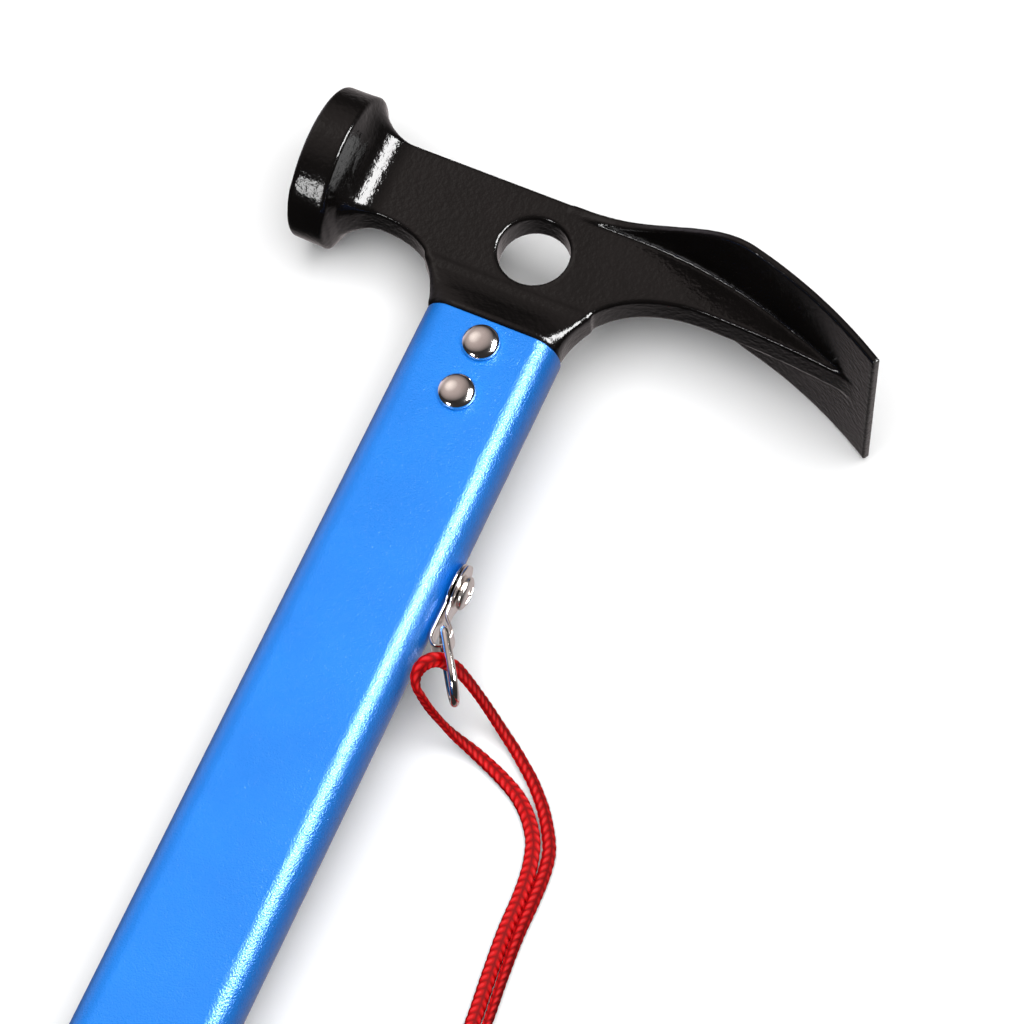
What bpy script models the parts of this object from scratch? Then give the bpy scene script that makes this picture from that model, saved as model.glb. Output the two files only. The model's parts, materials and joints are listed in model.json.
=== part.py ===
"""Rock and camping hammer: forged head, riveted oval tube handle and a cord lanyard.

The hammer's own frame has its origin at the middle of the tube's upper rim, +X towards the
blade, +Y towards the head and +Z through the thickness. Every rigid piece is modelled there,
under one parent empty, which then lays the hammer on a table as it really lies: on the poll,
the side of the blade and the butt. The lanyard's ring and cord are placed on that table.
"""

import math

import bmesh
import bpy
import numpy as np
from mathutils import Matrix, Vector

MM = 0.001

# Fits
TOUCH_GAP = 0.3 * MM  # between pieces that bear on each other
RUNNING_GAP = 0.7 * MM  # round the ring's bar in the tab's eye

# Handle tube: two flats joined by half ellipses
TUBE_LENGTH = 270.0 * MM
TUBE_FLAT_HALF = 9.55 * MM
TUBE_BULGE = 5.7 * MM
TUBE_HALF_THICKNESS = 8.05 * MM
TUBE_WALL = 1.3 * MM
TUBE_HALF_WIDTH = TUBE_FLAT_HALF + TUBE_BULGE

# End cap
CAP_FLANGE = 2.4 * MM
CAP_INSERT = 12.0 * MM
CAP_EDGE_ROUND = 0.9 * MM

# Head: web, peg hole and tang
HEAD_TOP = 32.8 * MM
WEB_HALF_THICKNESS = 4.0 * MM
PEG_HOLE_RADIUS = 7.65 * MM
PEG_HOLE_X = 0.4 * MM
PEG_HOLE_Y = 19.8 * MM
SHOULDER_INSET = 0.5 * MM  # shoulder edge inside the tube's outline
SHOULDER_HEIGHT = 2.0 * MM
FLARE_HEIGHT = 8.7 * MM
TANG_LENGTH = 30.0 * MM
NECK_HALF_HEIGHT = 8.95 * MM
NECK_MIDDLE_Y = HEAD_TOP - NECK_HALF_HEIGHT
WEB_FOOT_Y = 5.0 * MM  # the web's plate starts here, inside the base
WEB_SUNK = 0.5 * MM  # the web's plate ends this far inside the blade
SKIN = 0.15 * MM  # a form that dies into another starts this far under its face

# Head: the two swept corners of the web, each upright at its foot and level at its crest
NOTCH_FOOT = (-TUBE_HALF_WIDTH - 0.75 * MM, 1.0 * MM)
NOTCH_CREST = (-33.0 * MM, NECK_MIDDLE_Y - NECK_HALF_HEIGHT)
NOTCH_POWER = 2.2
RIB_FOOT = (TUBE_HALF_WIDTH - 0.55 * MM, 2.6 * MM)
RIB_CREST = (39.0 * MM, HEAD_TOP - 12.5 * MM)
RIB_POWER = 2.1

# Head: poll
POLL_RADIUS = 16.8 * MM
POLL_LENGTH = 8.7 * MM
POLL_FACE_X = -51.7 * MM
POLL_CENTRE_Y = NECK_MIDDLE_Y - 0.45 * MM
POLL_CROWN = 0.7 * MM
POLL_EDGE_ROUND = 1.1 * MM
POLL_BACK_SLOPE = 1.6 * MM
NECK_FILLET = 6.0 * MM
NECK_ROOT_HALF_HEIGHT = 12.6 * MM  # of the neck's first section, inside the poll
NECK_ROOT_HALF_THICKNESS = 10.6 * MM
NECK_ROOT_POWER = 2.6
NECK_TALL_FLARE = 0.75  # how far the fillet widens the height, to the thickness
POLL_BACK_X = POLL_FACE_X + POLL_LENGTH

# Head: adze blade
BLADE_START_X = 4.0 * MM
BLADE_BEND_X = 19.0 * MM
BLADE_BEND_RADIUS = 112.0 * MM
BLADE_TIP_X = 78.5 * MM
BLADE_HALF_WIDTH = 24.0 * MM
BLADE_FLARE_LENGTH = 42.5 * MM
BLADE_EDGE_THICKNESS = 1.6 * MM
BLADE_ROOT_THICKNESS = 2.6 * MM
BLADE_FILLET_RUN = 3.0 * MM
BLADE_SWELL_END = 12.0 * MM  # the root thins out over this run before the rib's end
BLADE_SINK_RUN = 4.0 * MM  # the blade's first stretch slopes down into the web's top
BLADE_SINK_SLOPE = 0.1
RIB_END_X = BLADE_TIP_X - 8.0 * MM
RIB_END_DEPTH = 2.0 * MM  # of the rib's lower edge under the blade's outer face, at its end

# Rivets
RIVET_Y = (-5.5 * MM, -17.4 * MM)
RIVET_HEAD_RADIUS = 4.0 * MM
RIVET_HEAD_HEIGHT = 2.1 * MM
RIVET_SHANK_RADIUS = 2.0 * MM

# Lanyard tab, its screw and the ring
TAB_SCREW_Y = -54.0 * MM
TAB_SHEET = 0.7 * MM
TAB_PAD_RADIUS = 5.6 * MM
TAB_NECK_HALF_WIDTH = 3.6 * MM
TAB_EYE_HALF_LENGTH = 2.6 * MM
TAB_EYE_Y = -64.8 * MM
RING_BAR_RISE = 0.7 * MM  # the ring's bar above the middle of the eye
SCREW_HEAD_RADIUS = 3.6 * MM
SCREW_HEAD_HEIGHT = 1.7 * MM
SCREW_SHANK_RADIUS = 1.7 * MM
SCREW_REACH = 9.0 * MM  # length of shank inside the tube
SCREW_SLOT_LENGTH = 4.0 * MM
SCREW_SLOT_WIDTH = 0.9 * MM
SCREW_SLOT_DEPTH = 1.1 * MM
RING_WIRE_RADIUS = 0.9 * MM
RING_LENGTH = 14.0 * MM  # centre of the bar to centre of the bow
RING_HALF_WIDTH = 5.0 * MM
RING_CORNER = 1.3 * MM
RING_SWING = math.radians(34.0)  # out from the handle, as it lies

# Lanyard cord: a loop through the ring, laid on the table, its two ends tied in one knot.
# Each run's points go from the ring to the knot, in the table's frame.
CORD_RADIUS = 1.1 * MM
CORD_POINT_PITCH = 5.5 * MM
INNER_RUN = [(7.5, 47.2, 18.6), (5.7, 46.5, 20.6), (4.1, 45.2, 21.7), (3.0, 43.4, 21.6),
             (2.8, 41.5, 20.5), (3.5, 40.1, 18.6), (4.7, 39.5, 16.4), (6.8, 39.0, 12.6),
             (9.3, 38.7, 8.9),
             (12.8, 38.3, 5.0), (17.0, 37.8, 2.4), (21.4, 36.6, 1.3), (25.5, 35.0, 1.2),
             (29.1, 33.2, 1.2), (32.0, 31.0, 1.2), (34.2, 28.6, 1.2), (36.0, 25.9, 1.2),
             (37.1, 23.0, 1.2), (38.0, 19.0, 1.2), (38.5, 13.4, 1.2), (38.7, 6.0, 1.2),
             (39.6, -4.0, 1.2), (40.6, -14.0, 1.2), (41.2, -28.0, 1.2), (41.0, -44.0, 1.2),
             (39.8, -62.0, 1.2), (38.4, -78.0, 1.3), (37.7, -87.0, 2.2), (37.6, -93.0, 3.5)]
OUTER_RUN = [(7.9, 47.3, 18.2), (9.2, 47.5, 16.7), (11.2, 47.3, 14.2), (13.6, 46.7, 11.4),
             (16.3, 45.9, 8.1), (19.1, 44.8, 5.1), (22.0, 43.4, 2.9), (25.0, 41.7, 1.6),
             (27.8, 39.6, 1.2), (30.6, 37.4, 1.2), (33.1, 35.0, 1.2), (35.3, 32.6, 1.2),
             (37.2, 30.0, 1.2), (38.9, 27.3, 1.2), (40.2, 24.4, 1.2), (41.0, 20.0, 1.2),
             (41.3, 14.0, 1.2), (41.5, 6.0, 1.2), (42.4, -4.0, 1.2), (43.4, -14.0, 1.2),
             (44.0, -28.0, 1.2), (43.8, -44.0, 1.2), (42.6, -62.0, 1.2), (41.2, -78.0, 1.3),
             (40.5, -87.0, 2.2), (40.4, -93.0, 3.5)]
KNOT_CENTRE = (39.0, -98.0, 3.9)
KNOT_HALF_SIZE = (4.3, 4.6, 3.5)

CURVE_STEPS = 4  # points added to each span of a drawn outline
ROUND_STEPS = 48
CUT_MARGIN = 1.0 * MM  # how far a cutter runs past what it cuts


# ---------------------------------------------------------------- helpers


def clear_scene():
    for obj in list(bpy.data.objects):
        bpy.data.objects.remove(obj, do_unlink=True)


def new_collection(name):
    group = bpy.data.collections.new(name)
    bpy.context.scene.collection.children.link(group)
    return group


def material(name, colour, roughness, metallic):
    mat = bpy.data.materials.new(name)
    mat.use_nodes = True
    shader = mat.node_tree.nodes["Principled BSDF"]
    shader.inputs["Base Color"].default_value = (*colour, 1.0)
    shader.inputs["Roughness"].default_value = roughness
    shader.inputs["Metallic"].default_value = metallic
    return mat


def add_object(name, data, group, parent=None, matrix=None):
    obj = bpy.data.objects.new(name, data)
    group.objects.link(obj)
    obj.parent = parent
    if matrix is not None:
        obj.matrix_local = matrix
    return obj


def smooth_run(points, steps=CURVE_STEPS):
    """Points of a Catmull-Rom curve through the given ones, ends included."""
    pts = [Vector(p) for p in points]
    pts = [2 * pts[0] - pts[1], *pts, 2 * pts[-1] - pts[-2]]
    run = []
    for a, b, c, d in zip(pts, pts[1:], pts[2:], pts[3:]):
        for step in range(steps):
            t = step / steps
            run.append(0.5 * (2 * b + (c - a) * t + (2 * a - 5 * b + 4 * c - d) * t**2
                              + (3 * b - a - 3 * c + d) * t**3))
    return [*run, pts[-2]]


def oval(inset=0.0, steps=20):
    """The handle's oval, drawn in from the tube's outside by inset."""
    outline = []
    for side in (1, -1):
        for angle in np.linspace(-math.pi / 2, math.pi / 2, steps):
            x = TUBE_FLAT_HALF + (TUBE_BULGE - inset) * math.cos(angle)
            y = (TUBE_HALF_THICKNESS - inset) * math.sin(angle)
            outline.append(Vector((side * x, side * y)))
    return outline


def plate(name, outlines, half_depth, group, parent, matrix, edge_round=0.0):
    """A flat outline, with holes, given depth along its own Z and made a welded mesh."""
    curve = bpy.data.curves.new(name, "CURVE")
    curve.dimensions = "2D"
    curve.fill_mode = "BOTH"
    curve.extrude = half_depth - edge_round
    curve.bevel_depth = edge_round
    curve.bevel_resolution = 1
    curve.offset = -edge_round
    for outline in outlines:
        spline = curve.splines.new("POLY")
        spline.points.add(len(outline) - 1)
        for point, place in zip(spline.points, outline):
            point.co = (place[0], place[1], 0.0, 1.0)
        spline.use_cyclic_u = True
    drawn = add_object(name, curve, group, parent, matrix)
    bpy.context.view_layer.update()
    evaluated = drawn.evaluated_get(bpy.context.evaluated_depsgraph_get())
    mesh = bpy.data.meshes.new_from_object(evaluated)
    bpy.data.objects.remove(drawn, do_unlink=True)
    bm = bmesh.new()
    bm.from_mesh(mesh)
    bmesh.ops.remove_doubles(bm, verts=bm.verts, dist=0.001 * MM)
    bmesh.ops.recalc_face_normals(bm, faces=bm.faces)
    bm.to_mesh(mesh)
    bm.free()
    return add_object(name, mesh, group, parent, matrix)


def loft(name, rings, group, parent, matrix=None):
    """A closed skin over rings of equal point counts, capped, in triangles since rings may twist."""
    bm = bmesh.new()
    rows = [[bm.verts.new(p) for p in ring] for ring in rings]
    for low, high in zip(rows, rows[1:]):
        for i in range(len(low)):
            j = (i + 1) % len(low)
            bm.faces.new((low[i], low[j], high[j], high[i]))
    bm.faces.new(rows[0])
    bm.faces.new(rows[-1])
    bmesh.ops.recalc_face_normals(bm, faces=bm.faces)
    mesh = bpy.data.meshes.new(name)
    bmesh.ops.triangulate(bm, faces=bm.faces)
    bm.to_mesh(mesh)
    bm.free()
    return add_object(name, mesh, group, parent, matrix)


def turned(name, profile, group, parent, matrix, steps=ROUND_STEPS):
    """A profile of (radius, height) points, top to bottom, turned about its own Z."""
    mesh = bpy.data.meshes.new(name)
    edges = [(i, i + 1) for i in range(len(profile) - 1)]
    mesh.from_pydata([(r, 0.0, z) for r, z in profile], edges, [])
    obj = add_object(name, mesh, group, parent, matrix)
    screw = obj.modifiers.new("turn", "SCREW")
    screw.steps = steps
    screw.render_steps = steps
    screw.use_merge_vertices = True
    screw.merge_threshold = 0.01 * MM
    return obj


def cylinder(name, radius, half_length, group, parent, matrix, sides=ROUND_STEPS):
    mesh = bpy.data.meshes.new(name)
    bm = bmesh.new()
    bmesh.ops.create_cone(bm, cap_ends=True, segments=sides, radius1=radius, radius2=radius,
                          depth=2 * half_length)
    bm.to_mesh(mesh)
    bm.free()
    return add_object(name, mesh, group, parent, matrix)


def block(name, size, group, parent, matrix):
    mesh = bpy.data.meshes.new(name)
    bm = bmesh.new()
    bmesh.ops.create_cube(bm, size=1.0)
    bmesh.ops.scale(bm, vec=size, verts=bm.verts)
    bm.to_mesh(mesh)
    bm.free()
    return add_object(name, mesh, group, parent, matrix)


def combine(obj, other, operation):
    change = obj.modifiers.new(f"{operation.lower()}_{other.name}", "BOOLEAN")
    change.operation = operation
    change.solver = "EXACT"
    change.object = other


def shade(obj, mat, angle=35.0):
    obj.data.materials.append(mat)
    obj.data.shade_smooth()
    obj.data.set_sharp_from_angle(angle=math.radians(angle))


def at(x=0.0, y=0.0, z=0.0, turn=0.0, axis="X"):
    return Matrix.Translation((x, y, z)) @ Matrix.Rotation(turn, 4, axis)


def superellipse(half_a, half_b, power, steps=32):
    """Points (a, b) round a squared-off ellipse; power 2 is a true one."""
    angles = np.linspace(0.0, 2 * math.pi, steps, endpoint=False)
    a = half_a * np.sign(np.cos(angles)) * np.abs(np.cos(angles)) ** (2 / power)
    b = half_b * np.sign(np.sin(angles)) * np.abs(np.sin(angles)) ** (2 / power)
    return list(zip(a.tolist(), b.tolist()))


# ---------------------------------------------------------------- hammer head


def blade_top(run):
    """Place and inward direction on the blade's outer face, run along it from the bend."""
    if run < 0:
        return Vector((BLADE_BEND_X + run, HEAD_TOP, 0.0)), Vector((0.0, -1.0, 0.0))
    angle = run / BLADE_BEND_RADIUS
    inward = Vector((-math.sin(angle), -math.cos(angle), 0.0))
    centre = Vector((BLADE_BEND_X, HEAD_TOP - BLADE_BEND_RADIUS, 0.0))
    return centre - inward * BLADE_BEND_RADIUS, inward


def blade_outer_y(x):
    """Height of the blade's outer face at x, past its bend."""
    across = x - BLADE_BEND_X
    return HEAD_TOP - BLADE_BEND_RADIUS + math.sqrt(BLADE_BEND_RADIUS**2 - across**2)


def blade_length():
    return BLADE_BEND_RADIUS * math.asin((BLADE_TIP_X - BLADE_BEND_X) / BLADE_BEND_RADIUS)


def blade_half_width(run):
    share = min(max((run + BLADE_BEND_X - BLADE_START_X) / BLADE_FLARE_LENGTH, 0.0), 1.0) ** 1.3
    ease = share * share * (3 - 2 * share)
    start = WEB_HALF_THICKNESS - SKIN
    return start + (BLADE_HALF_WIDTH - start) * ease


def swept_corner(foot, crest, power, turn):
    """Point of a squared-off quarter ellipse, at its foot when turn is 0, its crest at 90."""
    x = crest[0] + (foot[0] - crest[0]) * math.cos(turn) ** (2 / power)
    y = foot[1] + (crest[1] - foot[1]) * math.sin(turn) ** (2 / power)
    return Vector((x, y))


def turn_at_height(foot, crest, power, y):
    share = min(max((y - foot[1]) / (crest[1] - foot[1]), 0.0), 1.0)
    return math.asin(share ** (power / 2))


def corner_outline(foot, crest, power, steps=22):
    """A swept corner's points, from the web's foot up to the crest."""
    start = turn_at_height(foot, crest, power, WEB_FOOT_Y)
    return [swept_corner(foot, crest, power, turn)
            for turn in np.linspace(start, math.pi / 2, steps)]


def web_outline():
    """Side view of the web: neck, notch, the rib under the blade and the straight top."""
    neck_start = POLL_BACK_X + WEB_SUNK
    outline = [Vector((neck_start, NOTCH_CREST[1]))]
    outline += corner_outline(NOTCH_FOOT, NOTCH_CREST, NOTCH_POWER)[::-1]
    outline += corner_outline(RIB_FOOT, RIB_CREST, RIB_POWER)
    rib_run = RIB_END_X - RIB_CREST[0]
    rib_drop = RIB_CREST[1] - blade_outer_y(RIB_END_X) + RIB_END_DEPTH
    for share in np.linspace(0.0, 1.0, 9)[1:]:
        outline.append(Vector((RIB_CREST[0] + share * rib_run,
                               RIB_CREST[1] - share**2 * rib_drop)))
    for run in np.linspace(0.92 * blade_length(), 0.0, 14):
        place, inward = blade_top(run)
        outline.append((place + inward * (2 * WEB_SUNK if run > 0 else WEB_SUNK)).to_2d())
    outline.append(Vector((BLADE_START_X + BLADE_SINK_RUN + 3 * MM, HEAD_TOP - WEB_SUNK)))
    outline.append(Vector((BLADE_START_X + 2 * MM, HEAD_TOP)))
    outline.append(Vector((neck_start, HEAD_TOP)))
    return outline


def blade_rings():
    """Sections of the blade: flat outer face, thin edges, thicker towards the rib."""
    rings = []
    for run in np.linspace(BLADE_START_X - BLADE_BEND_X, blade_length(), 26):
        place, inward = blade_top(run)
        half = blade_half_width(run)
        sunk_end = BLADE_START_X + BLADE_SINK_RUN - BLADE_BEND_X
        sink = max(0.0, sunk_end - run) * BLADE_SINK_SLOPE
        across = np.array([1.0, 0.8, 0.6, 0.42, 0.27, 0.16, 0.0]) * half
        swell = np.exp(-np.maximum(across - WEB_HALF_THICKNESS, 0.0) / BLADE_FILLET_RUN)
        swell *= min(max((RIB_END_X - BLADE_BEND_X - run) / BLADE_SWELL_END, 0.0), 1.0)
        depth = BLADE_EDGE_THICKNESS + (BLADE_ROOT_THICKNESS - BLADE_EDGE_THICKNESS) * swell
        side = Vector((0.0, 0.0, 1.0))
        outer = place + inward * sink
        ring = [outer + side * half * share for share in (1.0, 0.5, 0.0, -0.5, -1.0)]
        ring += [place + inward * d - side * z for z, d in zip(across, depth)]
        ring += [place + inward * d + side * z for z, d in zip(across[-2::-1], depth[-2::-1])]
        rings.append(ring)
    return rings


def neck_rings():
    """Sections from the poll's back, round, to the web's, square-edged, through a fillet."""
    poll_back = POLL_BACK_X + POLL_BACK_SLOPE
    flat_x = poll_back + NECK_FILLET
    sections = [(poll_back - 1.2 * MM, NECK_ROOT_HALF_HEIGHT, NECK_ROOT_HALF_THICKNESS,
                 NECK_ROOT_POWER)]
    for share in np.linspace(0.12, 1.0, 8):
        turn = share * math.pi / 2
        rise = NECK_FILLET * (1 - math.sin(turn))
        half_y = NECK_HALF_HEIGHT - SKIN + NECK_TALL_FLARE * rise
        half_z = WEB_HALF_THICKNESS - SKIN + rise
        sections.append((flat_x - NECK_FILLET * math.cos(turn), half_y, half_z, 3 + 9 * share))
    sections.append((flat_x + 2 * MM, NECK_HALF_HEIGHT - 2.5 * SKIN,
                     WEB_HALF_THICKNESS - 2 * SKIN, 12))
    return [[Vector((x, NECK_MIDDLE_Y + a, b)) for a, b in superellipse(half_y, half_z, power)]
            for x, half_y, half_z, power in sections]


def base_rings():
    """Sections from the shoulder that caps the tube up into the web, following its corners."""
    shoulder = TUBE_HALF_WIDTH - SHOULDER_INSET
    thick = TUBE_HALF_THICKNESS - SHOULDER_INSET
    thin = WEB_HALF_THICKNESS - SKIN
    sections = [(TOUCH_GAP, -shoulder, shoulder, thick, 2.9),
                (SHOULDER_HEIGHT, -shoulder - 0.5 * MM, shoulder, thick - SKIN, 3.0)]
    for share, power in ((0.55, 4.5), (0.8, 7.0), (1.0, 9.0), (1.2, 9.0)):
        y = share * FLARE_HEIGHT
        notch_turn = turn_at_height(NOTCH_FOOT, NOTCH_CREST, NOTCH_POWER, y)
        rib_turn = turn_at_height(RIB_FOOT, RIB_CREST, RIB_POWER, y)
        left = swept_corner(NOTCH_FOOT, NOTCH_CREST, NOTCH_POWER, notch_turn).x
        right = swept_corner(RIB_FOOT, RIB_CREST, RIB_POWER, rib_turn).x
        half_z = thick + (thin - thick) * min(share, 1.0) - max(share - 1.0, 0.0) * 5 * SKIN
        sections.append((y, left + SKIN, right - SKIN, half_z, power))
    rings = []
    for y, left, right, half_z, power in sections:
        middle = (left + right) / 2
        outline = superellipse((right - left) / 2, half_z, power)
        rings.append([Vector((middle + a, y, b)) for a, b in outline])
    return rings


def make_head(group, cutters, root, mat):
    head = plate("hammer_head", [web_outline()], WEB_HALF_THICKNESS, group, root, at())
    poll_profile = [(0.0, POLL_LENGTH), (0.5 * POLL_RADIUS, POLL_LENGTH - 0.25 * POLL_CROWN),
                    (POLL_RADIUS - 2 * POLL_EDGE_ROUND, POLL_LENGTH - POLL_CROWN)]
    for turn in np.linspace(0.0, math.pi / 2, 4):
        poll_profile.append((POLL_RADIUS - POLL_EDGE_ROUND * (1 - math.sin(turn)),
                             POLL_LENGTH - POLL_CROWN - POLL_EDGE_ROUND * (1 - math.cos(turn))))
    poll_profile += [(POLL_RADIUS, 0.3 * MM), (POLL_RADIUS - 0.5 * MM, -0.2 * MM),
                     (0.62 * POLL_RADIUS, -POLL_BACK_SLOPE), (0.0, -POLL_BACK_SLOPE)]
    poll = turned("poll_form", poll_profile, cutters, root,
                  at(POLL_BACK_X, POLL_CENTRE_Y, 0.0, -math.pi / 2, "Y"), steps=64)
    tang_outline = oval(TUBE_WALL + TOUCH_GAP, steps=12)
    tang = plate("tang_form", [tang_outline], (TANG_LENGTH + SHOULDER_HEIGHT) / 2, cutters, root,
                 at(0.0, (SHOULDER_HEIGHT - TANG_LENGTH) / 2, 0.0, math.pi / 2))
    neck = loft("neck_form", neck_rings(), cutters, root)
    base = loft("base_form", base_rings(), cutters, root)
    blade = loft("blade_form", blade_rings(), cutters, root)
    for form in (neck, poll, base, tang, blade):
        combine(head, form, "UNION")
    hole = cylinder("peg_hole_cut", PEG_HOLE_RADIUS, 3 * WEB_HALF_THICKNESS, cutters, root,
                    at(PEG_HOLE_X, PEG_HOLE_Y), sides=64)
    combine(head, hole, "DIFFERENCE")
    for index, y in enumerate(RIVET_Y):
        bore = cylinder(f"tang_bore_{index}", RIVET_SHANK_RADIUS + TOUCH_GAP,
                        2 * TUBE_HALF_THICKNESS, cutters, root, at(0.0, y), sides=24)
        combine(head, bore, "DIFFERENCE")
    shade(head, mat)
    return head


# ---------------------------------------------------------------- handle


def make_handle(group, cutters, root, mat):
    along = at(0.0, -TUBE_LENGTH / 2, 0.0, math.pi / 2)
    tube = plate("handle_tube", [oval(), oval(TUBE_WALL)], TUBE_LENGTH / 2, group, root, along)
    for index, y in enumerate(RIVET_Y):
        bore = cylinder(f"tube_bore_{index}", RIVET_SHANK_RADIUS + TOUCH_GAP,
                        2 * TUBE_HALF_THICKNESS, cutters, root, at(0.0, y), sides=24)
        combine(tube, bore, "DIFFERENCE")
    screw_bore = cylinder("tube_screw_bore", SCREW_SHANK_RADIUS + TOUCH_GAP,
                          TUBE_WALL + CUT_MARGIN, cutters, root,
                          at(TUBE_HALF_WIDTH, TAB_SCREW_Y, 0.0, math.pi / 2, "Y"), sides=24)
    combine(tube, screw_bore, "DIFFERENCE")
    shade(tube, mat)
    return tube


def make_end_cap(group, cutters, root, mat):
    flange_y = -TUBE_LENGTH - TOUCH_GAP - CAP_FLANGE / 2
    cap = plate("handle_end_cap", [oval()], CAP_FLANGE / 2, group, root,
                at(0.0, flange_y, 0.0, math.pi / 2), edge_round=CAP_EDGE_ROUND)
    reach = CAP_INSERT + CAP_FLANGE / 2
    insert = plate("cap_insert_form", [oval(TUBE_WALL + TOUCH_GAP)], reach / 2, cutters, root,
                   at(0.0, flange_y + reach / 2, 0.0, math.pi / 2))
    combine(cap, insert, "UNION")
    shade(cap, mat)
    return cap


def make_rivets(group, root, mat):
    seat = TUBE_HALF_THICKNESS + TOUCH_GAP
    rim = 0.35 * MM
    dome = [(RIVET_HEAD_RADIUS * math.sin(a), rim + (RIVET_HEAD_HEIGHT - rim) * math.cos(a))
            for a in np.linspace(0.0, math.pi / 2, 8)]
    upper = [(r, seat + z) for r, z in dome] + [(RIVET_HEAD_RADIUS, seat),
                                                (RIVET_SHANK_RADIUS, seat)]
    lower = [(r, -z) for r, z in reversed(upper)]
    for name, y in zip(("head_rivet_upper", "head_rivet_lower"), RIVET_Y):
        rivet = turned(name, upper + lower, group, root, at(0.0, y), steps=40)
        shade(rivet, mat)


# ---------------------------------------------------------------- lanyard fittings

LEAF_IN = TUBE_HALF_WIDTH + TOUCH_GAP + TAB_SHEET / 2
LEAF_OUT = LEAF_IN + TAB_SHEET + TOUCH_GAP
EYE_HALF_WIDTH = RING_WIRE_RADIUS + RUNNING_GAP + TAB_SHEET / 2
EYE_X = LEAF_IN + EYE_HALF_WIDTH


def tab_path():
    """Middle line of the folded strip, outer leaf, round the eye, inner leaf."""
    top = TAB_SCREW_Y + TAB_PAD_RADIUS + CUT_MARGIN
    long = TAB_EYE_HALF_LENGTH
    wide = EYE_HALF_WIDTH
    loop = [(LEAF_OUT, TAB_EYE_Y + 2.2 * long), (LEAF_OUT + 0.2 * wide, TAB_EYE_Y + 1.5 * long)]
    for angle in np.radians(range(40, -171, -30)):
        loop.append((EYE_X + wide * math.cos(angle), TAB_EYE_Y + long * math.sin(angle)))
    loop += [(LEAF_IN, TAB_EYE_Y + 0.8 * long), (LEAF_IN, TAB_EYE_Y + 2.2 * long)]
    return [Vector((LEAF_OUT, top)), *smooth_run(loop, 3), Vector((LEAF_IN, top))]


def strip_outline(path, thickness):
    left = []
    right = []
    for index, place in enumerate(path):
        ahead = path[min(index + 1, len(path) - 1)] - path[max(index - 1, 0)]
        normal = Vector((-ahead.y, ahead.x)).normalized() * thickness / 2
        left.append(place + normal)
        right.append(place - normal)
    return left + right[::-1]


def tab_plan():
    """Front view of the tab: a round pad that narrows to a parallel neck."""
    outline = []
    start = math.asin(TAB_NECK_HALF_WIDTH / TAB_PAD_RADIUS)
    for angle in np.linspace(start, 2 * math.pi - start, 40):
        outline.append(Vector((TAB_SCREW_Y - TAB_PAD_RADIUS * math.cos(angle),
                               TAB_PAD_RADIUS * math.sin(angle))))
    end = TAB_EYE_Y - TAB_EYE_HALF_LENGTH - TAB_SHEET - CUT_MARGIN
    outline.append(Vector((end, -TAB_NECK_HALF_WIDTH)))
    outline.append(Vector((end, TAB_NECK_HALF_WIDTH)))
    return outline


def make_tab(group, cutters, root, mat):
    tab = plate("lanyard_tab", [strip_outline(tab_path(), TAB_SHEET)],
                TAB_PAD_RADIUS + CUT_MARGIN, group, root, at())
    face = Matrix(((0, 0, 1, LEAF_OUT), (1, 0, 0, 0), (0, 1, 0, 0), (0, 0, 0, 1)))
    plan = plate("tab_plan_form", [tab_plan()], 2 * EYE_HALF_WIDTH + 8 * TAB_SHEET, cutters,
                 root, face)
    combine(tab, plan, "INTERSECT")
    bore = cylinder("tab_bore", SCREW_SHANK_RADIUS + TOUCH_GAP, 2 * TAB_SHEET + CUT_MARGIN,
                    cutters, root, at(LEAF_OUT, TAB_SCREW_Y, 0.0, math.pi / 2, "Y"), sides=24)
    combine(tab, bore, "DIFFERENCE")
    shade(tab, mat)
    return tab


def make_tab_screw(group, cutters, root, mat):
    seat = LEAF_OUT + TAB_SHEET / 2 + TOUCH_GAP
    inner = seat - (TUBE_HALF_WIDTH - TUBE_WALL) + SCREW_REACH
    rim = 0.3 * SCREW_HEAD_HEIGHT
    head = [(SCREW_HEAD_RADIUS * math.sin(a), rim + (SCREW_HEAD_HEIGHT - rim) * math.cos(a))
            for a in np.linspace(0.0, math.pi / 2, 6)]
    profile = head + [(SCREW_HEAD_RADIUS, 0.0), (SCREW_SHANK_RADIUS, 0.0),
                      (SCREW_SHANK_RADIUS, -inner), (0.0, -inner - 1.5 * MM)]
    place = at(seat, TAB_SCREW_Y, 0.0, math.pi / 2, "Y")
    screw = turned("tab_screw", profile, group, root, place, steps=32)
    for index, turn in enumerate((0.0, math.pi / 2)):
        slot_place = place @ at(0.0, 0.0, SCREW_HEAD_HEIGHT, turn, "Z")
        size = (SCREW_SLOT_LENGTH, SCREW_SLOT_WIDTH, 2 * SCREW_SLOT_DEPTH)
        slot = block(f"screw_slot_{index}", size, cutters, root, slot_place)
        combine(screw, slot, "DIFFERENCE")
    shade(screw, mat)
    return screw


def ring_route():
    """The ring's middle line, bar along Z at the pivot, bow hanging along -Y."""
    half = RING_HALF_WIDTH
    arcs = [(half - RING_CORNER, -RING_CORNER, RING_CORNER, RING_CORNER, 90, 0),
            (0.0, -(RING_LENGTH - half), half, half, 0, -180),
            (-(half - RING_CORNER), -RING_CORNER, RING_CORNER, RING_CORNER, 180, 90)]
    route = []
    for centre_z, centre_y, radius_z, radius_y, start, end in arcs:
        count = 3 + abs(end - start) // 15
        for angle in np.radians(np.linspace(start, end, count)):
            route.append((0.0, centre_y + radius_y * math.sin(angle),
                          centre_z + radius_z * math.cos(angle)))
    return route


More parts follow.
